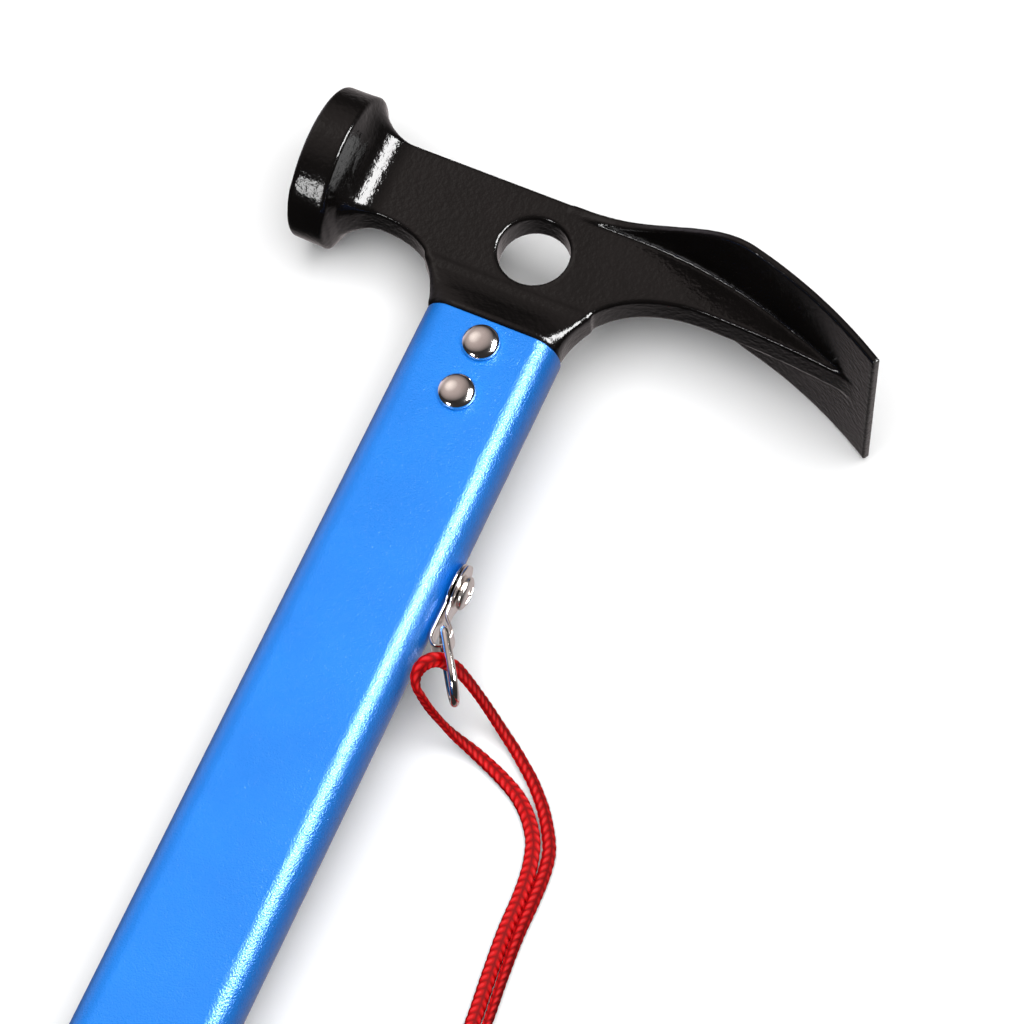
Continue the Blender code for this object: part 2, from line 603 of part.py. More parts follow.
def make_ring(group, root, mat):
    """The ring stands on edge, turning about the table's normal through its bar."""
    bar = root.matrix_world @ Vector((EYE_X, TAB_EYE_Y + RING_BAR_RISE, 0.0))
    pivot = bpy.data.objects.new("ring_pivot", None)
    group.objects.link(pivot)
    pivot.matrix_world = Matrix.Translation(bar) @ Matrix.Rotation(RING_SWING, 4, "Z")
    wire = wire_curve("lanyard_ring", ring_route(), RING_WIRE_RADIUS, 3, cyclic=True)
    ring = add_object("lanyard_ring", wire, group, pivot, at())
    ring.data.materials.append(mat)
    return ring


def wire_curve(name, route, radius, resolution, cyclic=False):
    curve = bpy.data.curves.new(name, "CURVE")
    curve.dimensions = "3D"
    curve.bevel_depth = radius
    curve.bevel_resolution = resolution
    curve.use_fill_caps = not cyclic
    spline = curve.splines.new("POLY")
    spline.points.add(len(route) - 1)
    for point, place in zip(spline.points, route):
        point.co = (*place, 1.0)
    spline.use_cyclic_u = cyclic
    return curve


def even_points(run, pitch):
    """A smooth curve through a run's points, read off about every pitch."""
    dense = np.array([p[:] for p in smooth_run([Vector(p) * MM for p in run], 12)])
    along = np.concatenate(([0.0], np.cumsum(np.linalg.norm(np.diff(dense, axis=0), axis=1))))
    marks = np.linspace(0.0, along[-1], round(along[-1] / pitch) + 1)
    return np.stack([np.interp(marks, along, dense[:, i]) for i in range(3)], axis=1).tolist()


def make_cord(group, mat):
    for name, run in (("lanyard_cord_inner", INNER_RUN), ("lanyard_cord_outer", OUTER_RUN)):
        tube = wire_curve(name, even_points(run, CORD_POINT_PITCH), CORD_RADIUS, 2)
        add_object(name, tube, group).data.materials.append(mat)
    mesh = bpy.data.meshes.new("lanyard_knot")
    bm = bmesh.new()
    bmesh.ops.create_uvsphere(bm, u_segments=24, v_segments=14, radius=1.0)
    bmesh.ops.scale(bm, vec=Vector(KNOT_HALF_SIZE) * MM, verts=bm.verts)
    bmesh.ops.translate(bm, vec=Vector(KNOT_CENTRE) * MM, verts=bm.verts)
    bm.to_mesh(mesh)
    bm.free()
    knot = add_object("lanyard_knot", mesh, group)
    shade(knot, mat)


# ---------------------------------------------------------------- lying on the table


def world_points(obj):
    evaluated = obj.evaluated_get(bpy.context.evaluated_depsgraph_get())
    mesh = evaluated.to_mesh()
    places = np.empty(len(mesh.vertices) * 3)
    mesh.vertices.foreach_get("co", places)
    evaluated.to_mesh_clear()
    turn = np.array(obj.matrix_world)
    return places.reshape(-1, 3) @ turn[:3, :3].T + turn[:3, 3]


def lay_down(root, head, cap, pieces):
    """Rest the hammer on poll, blade side and butt, its box centred over the origin."""
    head_points = world_points(head)
    groups = [head_points[head_points[:, 0] < 0], head_points[head_points[:, 0] > 0],
              world_points(cap)]
    normal = np.array((0.0, 0.0, 1.0))
    for _ in range(8):
        poll, blade, butt = (part[np.argmin(part @ normal)] for part in groups)
        normal = np.cross(blade - butt, poll - butt)
        normal /= np.linalg.norm(normal)
    turn = Vector(normal).rotation_difference(Vector((0.0, 0.0, 1.0)))
    root.matrix_world = turn.to_matrix().to_4x4()
    bpy.context.view_layer.update()
    places = np.vstack([world_points(piece) for piece in pieces])
    low = places.min(axis=0)
    high = places.max(axis=0)
    shift = Vector((-(low[0] + high[0]) / 2, -(low[1] + high[1]) / 2, -low[2]))
    root.matrix_world = Matrix.Translation(shift) @ root.matrix_world
    bpy.context.view_layer.update()


def build():
    clear_scene()
    parts = new_collection("rock_hammer")
    cutters = new_collection("cutters")
    black_paint = material("black_paint", (0.02, 0.018, 0.018), 0.25, 0.0)
    blue_anodised = material("blue_anodised", (0.01, 0.22, 0.9), 0.35, 1.0)
    nickel = material("nickel", (0.75, 0.71, 0.67), 0.15, 1.0)
    black_plastic = material("black_plastic", (0.02, 0.02, 0.022), 0.5, 0.0)
    root = bpy.data.objects.new("hammer", None)
    parts.objects.link(root)
    bpy.context.view_layer.update()
    head = make_head(parts, cutters, root, black_paint)
    make_handle(parts, cutters, root, blue_anodised)
    cap = make_end_cap(parts, cutters, root, black_plastic)
    make_rivets(parts, root, nickel)
    make_tab(parts, cutters, root, nickel)
    make_tab_screw(parts, cutters, root, nickel)
    for form in cutters.objects:
        form.hide_render = True
        form.display_type = "WIRE"
    bpy.context.view_layer.update()
    pieces = [obj for obj in parts.objects if obj.type == "MESH"]
    lay_down(root, head, cap, pieces)
    make_ring(parts, root, nickel)
    make_cord(parts, material("red_cord", (0.75, 0.01, 0.01), 0.8, 0.0))


build()
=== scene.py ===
"""Looks of a rock and camping hammer: painted forged head, blue tube handle, nickel fittings, red cord."""

import json
import math

import bpy
import numpy as np
from mathutils import Matrix, Vector


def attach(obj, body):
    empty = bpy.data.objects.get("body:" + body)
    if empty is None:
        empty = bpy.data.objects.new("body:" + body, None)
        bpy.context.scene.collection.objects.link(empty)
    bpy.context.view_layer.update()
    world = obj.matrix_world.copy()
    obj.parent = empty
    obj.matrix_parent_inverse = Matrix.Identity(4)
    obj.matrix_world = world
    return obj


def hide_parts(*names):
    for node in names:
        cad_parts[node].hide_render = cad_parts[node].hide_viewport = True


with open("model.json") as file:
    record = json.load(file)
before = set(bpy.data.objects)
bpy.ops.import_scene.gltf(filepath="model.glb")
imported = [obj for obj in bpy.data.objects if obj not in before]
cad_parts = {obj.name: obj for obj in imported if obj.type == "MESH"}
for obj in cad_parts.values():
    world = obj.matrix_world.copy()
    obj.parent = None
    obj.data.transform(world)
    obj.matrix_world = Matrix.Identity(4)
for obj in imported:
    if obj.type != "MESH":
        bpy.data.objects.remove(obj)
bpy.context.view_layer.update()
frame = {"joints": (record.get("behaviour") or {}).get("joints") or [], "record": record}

MM = 0.001

# ---------------------------------------------------------------- camera
# The hammer lies on its side on a table and is looked at steeply from above, near the butt's end.

CAMERA_PLACE = (97.49 * MM, -178.27 * MM, 684.33 * MM)
CAMERA_RIGHT = Vector((0.91154, 0.40977, 0.03433)).normalized()
CAMERA_AHEAD = Vector((-0.12783, 0.36172, -0.92348)).normalized()
CAMERA_LENS = 124.5

camera_up = CAMERA_RIGHT.cross(CAMERA_AHEAD).normalized()
camera_side = CAMERA_AHEAD.cross(camera_up)
camera = bpy.data.objects.new("camera", bpy.data.cameras.new("camera"))
bpy.context.scene.collection.objects.link(camera)
turn = Matrix((camera_side, camera_up, -CAMERA_AHEAD)).transposed()
camera.matrix_world = Matrix.Translation(CAMERA_PLACE) @ turn.to_4x4()
camera.data.lens = CAMERA_LENS
camera.data.sensor_width = 36.0
camera.data.clip_start = 0.01
bpy.context.scene.camera = camera
bpy.context.scene.view_settings.view_transform = "Standard"

# ---------------------------------------------------------------- lanyard cord
# A flat braid of red polyester, plaited in two columns of chain on each face. It passes through
# the ring in a bight, its two runs lie side by side on the table, and one knot ties their ends.

CORD_WIDTH = 3.2 * MM
CORD_THICKNESS = 1.75 * MM
CORD_CORNER_POWER = 2.6
CORD_STEP = 0.15 * MM
CORD_SIDES = 44
PLAIT_PITCH = 1.7 * MM
PLAIT_COLUMNS = 4
PLAIT_RELIEF = 0.16 * MM
FLOOR_GAP = 0.08 * MM
YARN_SLANT = 0.85
YARN_ROUNDING = 0.75
COLUMN_ROUNDING = 0.45
YARN_MEAN = 0.7
SPAN_SAMPLES = 24
ROLL_SMOOTHING = 61

# Points in millimetres from the ring to the knot, and the roll of the flat braid along each run.
INNER_RUN = [(7.5, 47.2, 18.6), (5.7, 46.5, 20.6), (4.1, 45.2, 21.7), (3.0, 43.4, 21.6),
             (2.8, 41.5, 20.5), (3.5, 40.1, 18.6), (4.7, 39.5, 16.4), (6.8, 39.0, 12.6),
             (9.3, 38.7, 8.9),
             (12.8, 38.3, 5.0), (17.0, 37.8, 2.4), (21.4, 36.6, 1.3), (25.5, 35.0, 1.2),
             (29.1, 33.2, 1.2), (32.0, 31.0, 1.2), (34.2, 28.6, 1.2), (36.0, 25.9, 1.2),
             (37.1, 23.0, 1.2), (38.0, 19.0, 1.2), (38.5, 13.4, 1.2), (38.7, 6.0, 1.2),
             (39.6, -4.0, 1.2), (40.6, -14.0, 1.2), (41.2, -28.0, 1.2), (41.0, -44.0, 1.2),
             (39.8, -62.0, 1.2), (38.4, -78.0, 1.3), (37.7, -87.0, 2.2), (37.6, -93.0, 3.5)]
OUTER_RUN = [(7.9, 47.3, 18.2), (9.2, 47.5, 16.7), (11.2, 47.3, 14.2), (13.6, 46.7, 11.4),
             (16.3, 45.9, 8.1), (19.1, 44.8, 5.1), (22.0, 43.4, 2.9), (25.0, 41.7, 1.6),
             (27.8, 39.6, 1.2), (30.6, 37.4, 1.2), (33.1, 35.0, 1.2), (35.3, 32.6, 1.2),
             (37.2, 30.0, 1.2), (38.9, 27.3, 1.2), (40.2, 24.4, 1.2), (41.0, 20.0, 1.2),
             (41.3, 14.0, 1.2), (41.5, 6.0, 1.2), (42.4, -4.0, 1.2), (43.4, -14.0, 1.2),
             (44.0, -28.0, 1.2), (43.8, -44.0, 1.2), (42.6, -62.0, 1.2), (41.2, -78.0, 1.3),
             (40.5, -87.0, 2.2), (40.4, -93.0, 3.5)]
INNER_ROLL = {0: 10, 5: 35, 10: 75, 24: 70, 36: 30, 50: 8, 70: 12, 90: 25, 200: 25}
OUTER_ROLL = {0: 10, 6: 45, 20: 50, 45: 40, 60: 48, 75: 72, 90: 80, 200: 80}


def smooth_route(points, step):
    """Catmull-Rom curve through points, each span 0.5(2b + (c-a)t + ...), read off evenly."""
    p = np.array(points, float)
    p = np.vstack([2 * p[0] - p[1], p, 2 * p[-1] - p[-2]])
    a, b, c, d = (p[i:len(p) - 3 + i, None, :] for i in range(4))
    t = np.linspace(0, 1, SPAN_SAMPLES, endpoint=False)[None, :, None]
    dense = 0.5 * (2 * b + (c - a) * t + (2 * a - 5 * b + 4 * c - d) * t**2
                   + (3 * b - a - 3 * c + d) * t**3)
    dense = np.vstack([dense.reshape(-1, 3), p[-2]])
    along = np.concatenate([[0.0], np.cumsum(np.linalg.norm(np.diff(dense, axis=0), axis=1))])
    marks = np.linspace(0, along[-1], max(2, round(along[-1] / step) + 1))
    return np.stack([np.interp(marks, along, dense[:, i]) for i in range(3)], axis=1), marks


def grid_mesh(name, rings, close_ends=True, wrap_rings=False, values=None):
    """Mesh of a grid of points, rows of rings[i][j] joined round j; each end is closed to its mean."""
    count, sides = rings.shape[:2]
    points = rings.reshape(-1, 3)
    i, j = np.meshgrid(np.arange(count if wrap_rings else count - 1), np.arange(sides),
                       indexing="ij")
    up = (i + 1) % count
    nxt = (j + 1) % sides
    quads = np.stack([i * sides + j, i * sides + nxt, up * sides + nxt, up * sides + j], -1)
    faces = quads.reshape(-1, 4).tolist()
    if close_ends and not wrap_rings:
        last = len(points)
        points = np.vstack([points, rings[0].mean(0), rings[-1].mean(0)])
        k = np.arange(sides)
        end = (count - 1) * sides
        faces += np.stack([(k + 1) % sides, k, np.full(sides, last)], 1).tolist()
        faces += np.stack([end + k, end + (k + 1) % sides, np.full(sides, last + 1)], 1).tolist()
    mesh = bpy.data.meshes.new(name)
    mesh.from_pydata(points.tolist(), [], faces)
    if values is not None:
        for key, value in values.items():
            padded = np.concatenate([value.reshape(-1), np.zeros(len(points) - value.size)])
            layer = mesh.attributes.new(key, "FLOAT", "POINT")
            layer.data.foreach_set("value", padded.astype(np.float32))
    mesh.update()
    turned_in = sum_volume(mesh) < 0
    if turned_in:
        mesh.flip_normals()
    mesh.shade_smooth()
    obj = bpy.data.objects.new(name, mesh)
    bpy.context.scene.collection.objects.link(obj)
    return obj


def sum_volume(mesh):
    """Signed volume of a closed mesh, a sixth of the sum of its triangles' triple products."""
    mesh.calc_loop_triangles()
    corners = np.empty(len(mesh.loop_triangles) * 3, np.int32)
    mesh.loop_triangles.foreach_get("vertices", corners)
    places = np.empty(len(mesh.vertices) * 3)
    mesh.vertices.foreach_get("co", places)
    a, b, c = (places.reshape(-1, 3)[corners.reshape(-1, 3)[:, n]] for n in range(3))
    return float(np.einsum("ij,ij->i", a, np.cross(b, c)).sum() / 6)


def unit(v):
    """Vectors of length one: each divided by its own length."""
    return v / np.linalg.norm(v, axis=-1, keepdims=True)


def braid(name, route, marks, roll, width=CORD_WIDTH, thickness=CORD_THICKNESS):
    """Flat braid along a route: a squared-off ellipse, turned by roll, with plaited relief.

    Each of four columns round the section carries yarns |sin| of (length / pitch + slant), the
    slant's sign alternating between columns, as chain-like plaits.
    """
    ahead = unit(np.gradient(route, axis=0))
    side = unit(np.cross(ahead, (0.0, 0.0, 1.0)))
    face = np.cross(side, ahead)
    wide = side * np.cos(roll)[:, None] + face * np.sin(roll)[:, None]
    thin = face * np.cos(roll)[:, None] - side * np.sin(roll)[:, None]
    angle = np.linspace(0, 2 * math.pi, CORD_SIDES, endpoint=False)
    c, s = np.cos(angle), np.sin(angle)
    power = 2 / CORD_CORNER_POWER
    a = np.sign(c) * np.abs(c) ** power
    b = np.sign(s) * np.abs(s) ** power
    column = (angle / (2 * math.pi) * PLAIT_COLUMNS) % 1.0
    sign = np.where((angle / (2 * math.pi) * PLAIT_COLUMNS).astype(int) % 2 == 0, 1.0, -1.0)
    lean = marks[:, None] / PLAIT_PITCH + YARN_SLANT * sign[None, :] * (column[None, :] - 0.5)
    yarn = np.abs(np.sin(math.pi * lean)) ** YARN_ROUNDING
    envelope = np.sin(math.pi * column) ** COLUMN_ROUNDING
    height = yarn * envelope[None, :]
    swell = (height - YARN_MEAN) * PLAIT_RELIEF
    half_w = width / 2 + swell
    half_t = thickness / 2 + swell
    rings = (route[:, None, :] + wide[:, None, :] * (a * half_w)[..., None]
             + thin[:, None, :] * (b * half_t)[..., None])
    streak = np.broadcast_to(lean, height.shape)
    return grid_mesh(name, rings, values={"yarn": height, "streak": streak})


def lifted(route, roll):
    """The route, raised where the rolled section would reach below the table.

    A squared-off ellipse of power n reaches down (W^q + T^q)^(1/q), where q = n / (n - 1).
    """
    power = CORD_CORNER_POWER / (CORD_CORNER_POWER - 1)
    half_w, half_t = ((size + PLAIT_RELIEF) / 2 for size in (CORD_WIDTH, CORD_THICKNESS))
    reach = (np.abs(half_w * np.sin(roll)) ** power
             + np.abs(half_t * np.cos(roll)) ** power) ** (1 / power)
    raised = route.copy()
    raised[:, 2] = np.maximum(route[:, 2], reach + FLOOR_GAP)
    return raised


cord_material = bpy.data.materials.new("braided_red_polyester")
cord_material.use_nodes = True
cord_nodes = cord_material.node_tree.nodes
cord_links = cord_material.node_tree.links
cord_shader = cord_nodes["Principled BSDF"]
cord_shader.inputs["Roughness"].default_value = 0.7
cord_shader.inputs["Specular IOR Level"].default_value = 0.06
yarn_height = cord_nodes.new("ShaderNodeAttribute")
yarn_height.attribute_name = "yarn"
yarn_place = cord_nodes.new("ShaderNodeAttribute")
yarn_place.attribute_name = "streak"
cord_coords = cord_nodes.new("ShaderNodeTexCoord")
fibre = cord_nodes.new("ShaderNodeTexNoise")
fibre.inputs["Scale"].default_value = 4200.0
fibre.inputs["Detail"].default_value = 3.0
fibre_wave = cord_nodes.new("ShaderNodeMath")
fibre_wave.operation = "PINGPONG"
fibre_wave.inputs[1].default_value = 0.11
cord_links.new(cord_coords.outputs["Object"], fibre.inputs["Vector"])
cord_links.new(yarn_place.outputs["Fac"], fibre_wave.inputs[0])
# Painted highlight and painted shade: the colour follows the yarns' relief height. Crests are painted
# lighter and pinkish as a sheen, and grooves darker as shade. A smaller part comes from the fibre noise,
# which is real fibre tone.
crest_light_and_fibre = cord_nodes.new("ShaderNodeMath")
crest_light_and_fibre.operation = "MULTIPLY_ADD"
crest_light_and_fibre.inputs[1].default_value = 0.25
crest_light_and_fibre.use_clamp = True
cord_links.new(fibre.outputs["Fac"], crest_light_and_fibre.inputs[0])
cord_links.new(yarn_height.outputs["Fac"], crest_light_and_fibre.inputs[2])
# The ramp's dark stop is the painted shade in the grooves. Its light pinkish stop is the painted highlight
# on the yarn crests.
cord_crest_light_ramp = cord_nodes.new("ShaderNodeValToRGB")
cord_crest_light_ramp.color_ramp.elements[0].position = 0.25
cord_crest_light_ramp.color_ramp.elements[0].color = (0.24, 0.001, 0.002, 1.0)
cord_crest_light_ramp.color_ramp.elements[1].position = 1.0
cord_crest_light_ramp.color_ramp.elements[1].color = (0.72, 0.022, 0.026, 1.0)
cord_middle = cord_crest_light_ramp.color_ramp.elements.new(0.85)
cord_middle.color = (0.62, 0.003, 0.004, 1.0)
cord_links.new(crest_light_and_fibre.outputs["Value"], cord_crest_light_ramp.inputs["Fac"])
cord_links.new(cord_crest_light_ramp.outputs["Color"], cord_shader.inputs["Base Color"])
fibre_height = cord_nodes.new("ShaderNodeMath")
fibre_height.operation = "MULTIPLY_ADD"
fibre_height.inputs[1].default_value = 3.0
cord_links.new(fibre_wave.outputs["Value"], fibre_height.inputs[0])
cord_links.new(fibre.outputs["Fac"], fibre_height.inputs[2])
cord_bump = cord_nodes.new("ShaderNodeBump")
cord_bump.inputs["Strength"].default_value = 0.55
cord_bump.inputs["Distance"].default_value = 0.00006
cord_links.new(fibre_height.outputs["Value"], cord_bump.inputs["Height"])
cord_links.new(cord_bump.outputs["Normal"], cord_shader.inputs["Normal"])

cord_runs = {}
for run_name, run_points, run_roll in (("inner", INNER_RUN, INNER_ROLL),
                                       ("outer", OUTER_RUN, OUTER_ROLL)):
    run_route, run_marks = smooth_route(np.array(run_points) * MM, CORD_STEP)
    run_turn = np.radians(np.interp(run_marks, np.array(list(run_roll)) * MM,
                                    list(run_roll.values())))
    kernel = np.hanning(ROLL_SMOOTHING) / np.hanning(ROLL_SMOOTHING).sum()
    run_turn = np.convolve(np.pad(run_turn, ROLL_SMOOTHING // 2, mode="edge"), kernel, mode="valid")
    run_route = lifted(run_route, run_turn)
    run_piece = braid(f"cord_{run_name}", run_route, run_marks, run_turn)
    run_piece.data.materials.append(cord_material)
    cord_runs[run_name] = (run_piece, run_route, float(run_marks[-1]))

# ---------------------------------------------------------------- cord knot
# The cord's two ends are tied together in one overhand knot, drawn up tight.

KNOT_CENTRE = np.array((39.0, -98.0, 4.3)) * MM
KNOT_HALF_SIZE = np.array((3.0, 3.4, 2.2)) * MM
KNOT_STEPS = 360
KNOT_ROLL = 0.6
KNOT_WIDTH = 2.7 * MM
KNOT_THICKNESS = 1.9 * MM

knot_turn = np.linspace(0, 2 * math.pi, KNOT_STEPS)
knot_route = np.stack([(np.sin(knot_turn) + 2 * np.sin(2 * knot_turn)) / 3,
                       (np.cos(knot_turn) - 2 * np.cos(2 * knot_turn)) / 3,
                       -np.sin(3 * knot_turn)], axis=1)
knot_route = KNOT_CENTRE + knot_route * KNOT_HALF_SIZE
knot_marks = np.concatenate([[0.0], np.cumsum(np.linalg.norm(np.diff(knot_route, axis=0), axis=1))])
cord_knot = braid("cord_knot", knot_route, knot_marks, np.full(KNOT_STEPS, KNOT_ROLL),
                  width=KNOT_WIDTH, thickness=KNOT_THICKNESS)
cord_knot.data.materials.append(cord_material)
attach(cord_knot, "lanyard")
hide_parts("lanyard_knot")

for run_name, (run_piece, run_route, run_length) in cord_runs.items():
    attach(run_piece, "lanyard")
    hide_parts(f"lanyard_cord_{run_name}")

# ---------------------------------------------------------------- forged head
# One drop-forged steel piece: a round poll, a flat web with a hole for pulling pegs, an adze blade
# stiffened by a rib, and a flare that caps the tube. Its edges are forged round, and it is dipped
# in gloss black paint that dries with a fine orange peel.

# The head's sizes are in millimetres in the hammer's own frame: x towards the blade, y up the
# handle from the tube's rim, z out of its flat side. A swept corner is its foot, crest and power.
HEAD_TOP = 32.8
WEB_HALF = 4.0
WEB_EDGE = 0.7
HOLE_RADIUS = 7.65
HOLE_X = 0.4
HOLE_Y = 19.8
HOLE_RIM = 0.8
NECK_HALF_HEIGHT = 8.95
TUBE_FLAT = 9.55
TUBE_BULGE = 5.7
TUBE_THICK = 8.05
TUBE_WALL = 1.3
TUBE_WIDE = TUBE_FLAT + TUBE_BULGE
TOUCH_GAP = 0.3
NOTCH = ((-TUBE_WIDE - 0.75, 1.0), (-33.0, HEAD_TOP - 2 * NECK_HALF_HEIGHT), 2.2)
RIB = ((TUBE_WIDE - 0.55, 2.6), (39.0, HEAD_TOP - 12.5), 2.1)
RIB_END_X = 70.5
RIB_END_DEPTH = 2.0
POLL_RADIUS = 16.8
POLL_FACE_X = -51.7
POLL_BACK_X = -43.0
POLL_Y = 23.4
POLL_CROWN = 0.7
POLL_SLOPE = 1.6
NECK_FILLET = 8.5
BEND_X = 19.0
BEND_RADIUS = 112.0
BLADE_START_X = 4.0
BLADE_TIP_X = 78.5
BLADE_HALF = 24.0
BLADE_FLARE = 42.5
BLADE_EDGE = 1.6
BLADE_ROOT = 2.45
BLADE_FILLET = 0.6
BLADE_SWELL_END = 12.0
BLADE_LENGTH = BEND_RADIUS * math.asin((BLADE_TIP_X - BEND_X) / BEND_RADIUS)
FLARE_HEIGHT = 8.7
TANG_LENGTH = 30.0
RIVET_Y = (-5.5, -17.4)
BORE_RADIUS = 2.3
HEAD_CELL = 0.45
HEAD_MARGIN = 1.03
TIP_MARGIN = 1.5
WEB_INNER_HALF = WEB_HALF - 0.15
CORNER_STEPS = 30
CORNER_INSET = 1.3
CORNER_INSET_HEIGHT = 9.5
NECK_OVERLAP = 0.5
FOOT_INSET = 2.2
FOOT_RISE = 0.8
RIB_STEPS = 12
CREST_STEPS = 16
CREST_SHARE = 0.92
CREST_SINK = 1.0
CREST_START = 2.0
BLADE_SPREAD_POWER = 1.3
BLADE_EXTRA = 0.5
BLADE_EXTRA_RUN = 6.0
BLADE_SWELL_FADE = 3.0
BLADE_SIDE_SLOPE = 0.8
BLADE_SIDE_ROUND = 0.55
TIP_ROUND = 0.25
FLARE_INSET = 0.08
FLARE_NOTCH_INSET = 1.17
FLARE_NOTCH_RISE = 5.0
FLARE_FOOT_HALF = TUBE_THICK - 0.5
FLARE_FOOT_SHARE = 0.16
FLARE_POWERS = (3.0, 8.0)
FLARE_POWER_EASE = 1.5
FLARE_REACH = 1.2 * FLARE_HEIGHT
FLARE_ROUND = 0.45
FLARE_BLEND = 1.4
POLL_SLOPE_SHARE = 0.38
POLL_FACE_ROUND = 1.1
POLL_BACK_ROUND = 0.6
TANG_ROUND = 0.5
TANG_OVERLAP = 2.0
SKIN_NUDGE = 0.04
SKIN_ROUNDS = 4
SKIN_FLATTEST = 0.2
SKIN_MOVE = 0.3
WEAR_START = 0.35
WEAR_RAMP = 0.3

mounts = {mount["name"]: mount for mount in frame["record"]["mounts"]}
hammer_up = unit(np.array(mounts["web_cheek"]["axis"], float))
hammer_along = -unit(np.array(mounts["butt_face"]["axis"], float))
hammer_side = unit(np.cross(hammer_along, hammer_up))
hammer_axes = np.stack([hammer_side, np.cross(hammer_up, hammer_side), hammer_up])
CHEEK_MARK = np.array((-20.0, 24.0, WEB_HALF))
hammer_origin = np.array(mounts["web_cheek"]["pos_m"]) - CHEEK_MARK * MM @ hammer_axes


def laid(points):
    """Points in the hammer's own frame, in millimetres, put where it lies on the table."""
    return np.asarray(points, float) * MM @ hammer_axes + hammer_origin


def corner_x(corner, y):
    """Side of a swept corner at height y: a squared-off quarter ellipse, upright at its foot."""
    foot, crest, power = corner
    share = np.clip((y - foot[1]) / (crest[1] - foot[1]), 0, 1)
    return crest[0] + (foot[0] - crest[0]) * (1 - share**power) ** (1 / power)


def ease(share):
    """Smooth step from 0 to 1: 3t^2 - 2t^3."""
    share = np.clip(share, 0, 1)
    return share * share * (3 - 2 * share)


def corner_points(corner):
    """A swept corner from foot to crest, drawn in at its foot to stay inside the flare."""
    foot, crest, power = corner
    turn = np.linspace(0, math.pi / 2, CORNER_STEPS)
    x = crest[0] + (foot[0] - crest[0]) * np.abs(np.cos(turn)) ** (2 / power)
    y = foot[1] + (crest[1] - foot[1]) * np.sin(turn) ** (2 / power)
    inset = math.copysign(CORNER_INSET, x[0]) * (1 - ease(y / CORNER_INSET_HEIGHT))
    return np.stack([x - inset, y], axis=1)


def web_points():
    """Outline of the web seen from the side, in order round it."""
    neck_x = POLL_BACK_X + NECK_OVERLAP
    share = np.linspace(0, 1, RIB_STEPS)[1:]
    end_y = HEAD_TOP - BEND_RADIUS + math.sqrt(BEND_RADIUS**2 - (RIB_END_X - BEND_X) ** 2)
    lower = np.stack([RIB[1][0] + share * (RIB_END_X - RIB[1][0]),
                      RIB[1][1] - share**2 * (RIB[1][1] - end_y + RIB_END_DEPTH)], axis=1)
    turn = np.linspace(CREST_SHARE * BLADE_LENGTH, 0.0, CREST_STEPS) / BEND_RADIUS
    inner = BEND_RADIUS - CREST_SINK
    upper = np.stack([BEND_X + inner * np.sin(turn),
                      HEAD_TOP - BEND_RADIUS + inner * np.cos(turn)], axis=1)
    return np.vstack([[(neck_x, NOTCH[1][1])], corner_points(NOTCH)[::-1],
                      [(-TUBE_WIDE + FOOT_INSET, FOOT_RISE), (TUBE_WIDE - FOOT_INSET, FOOT_RISE)],
                      corner_points(RIB), lower, upper,
                      [(BLADE_START_X + CREST_START, HEAD_TOP), (neck_x, HEAD_TOP)]])


def outline_distance(x, y, points):
    """Signed distance to a closed outline: nearest edge, negative where a ray crosses it oddly."""
    x, y = np.broadcast_arrays(x, y)
    best = np.full(x.shape, 1e9)
    inside = np.zeros(x.shape, bool)
    for (ax, ay), (bx, by) in zip(points, np.roll(points, -1, axis=0)):
        ex, ey = bx - ax, by - ay
        along = np.clip(((x - ax) * ex + (y - ay) * ey) / (ex * ex + ey * ey), 0, 1)
        best = np.minimum(best, (x - ax - along * ex) ** 2 + (y - ay - along * ey) ** 2)
        if ey != 0:
            inside ^= ((ay > y) != (by > y)) & (x < ex * (y - ay) / ey + ax)
    return np.where(inside, -1.0, 1.0) * np.sqrt(best)


def meet(a, b, radius):
    """Common part of two solids, with its outer edge rounded to radius."""
    return np.minimum(-radius, np.maximum(a, b)) + np.hypot(np.maximum(radius + a, 0),
                                                            np.maximum(radius + b, 0))


def join(a, b, radius):
    """Both solids together, with a round fillet of radius in the corner between them."""
    return np.maximum(radius, np.minimum(a, b)) - np.hypot(np.maximum(radius - a, 0),
                                                           np.maximum(radius - b, 0))


HEAD_OUTLINE = web_points()


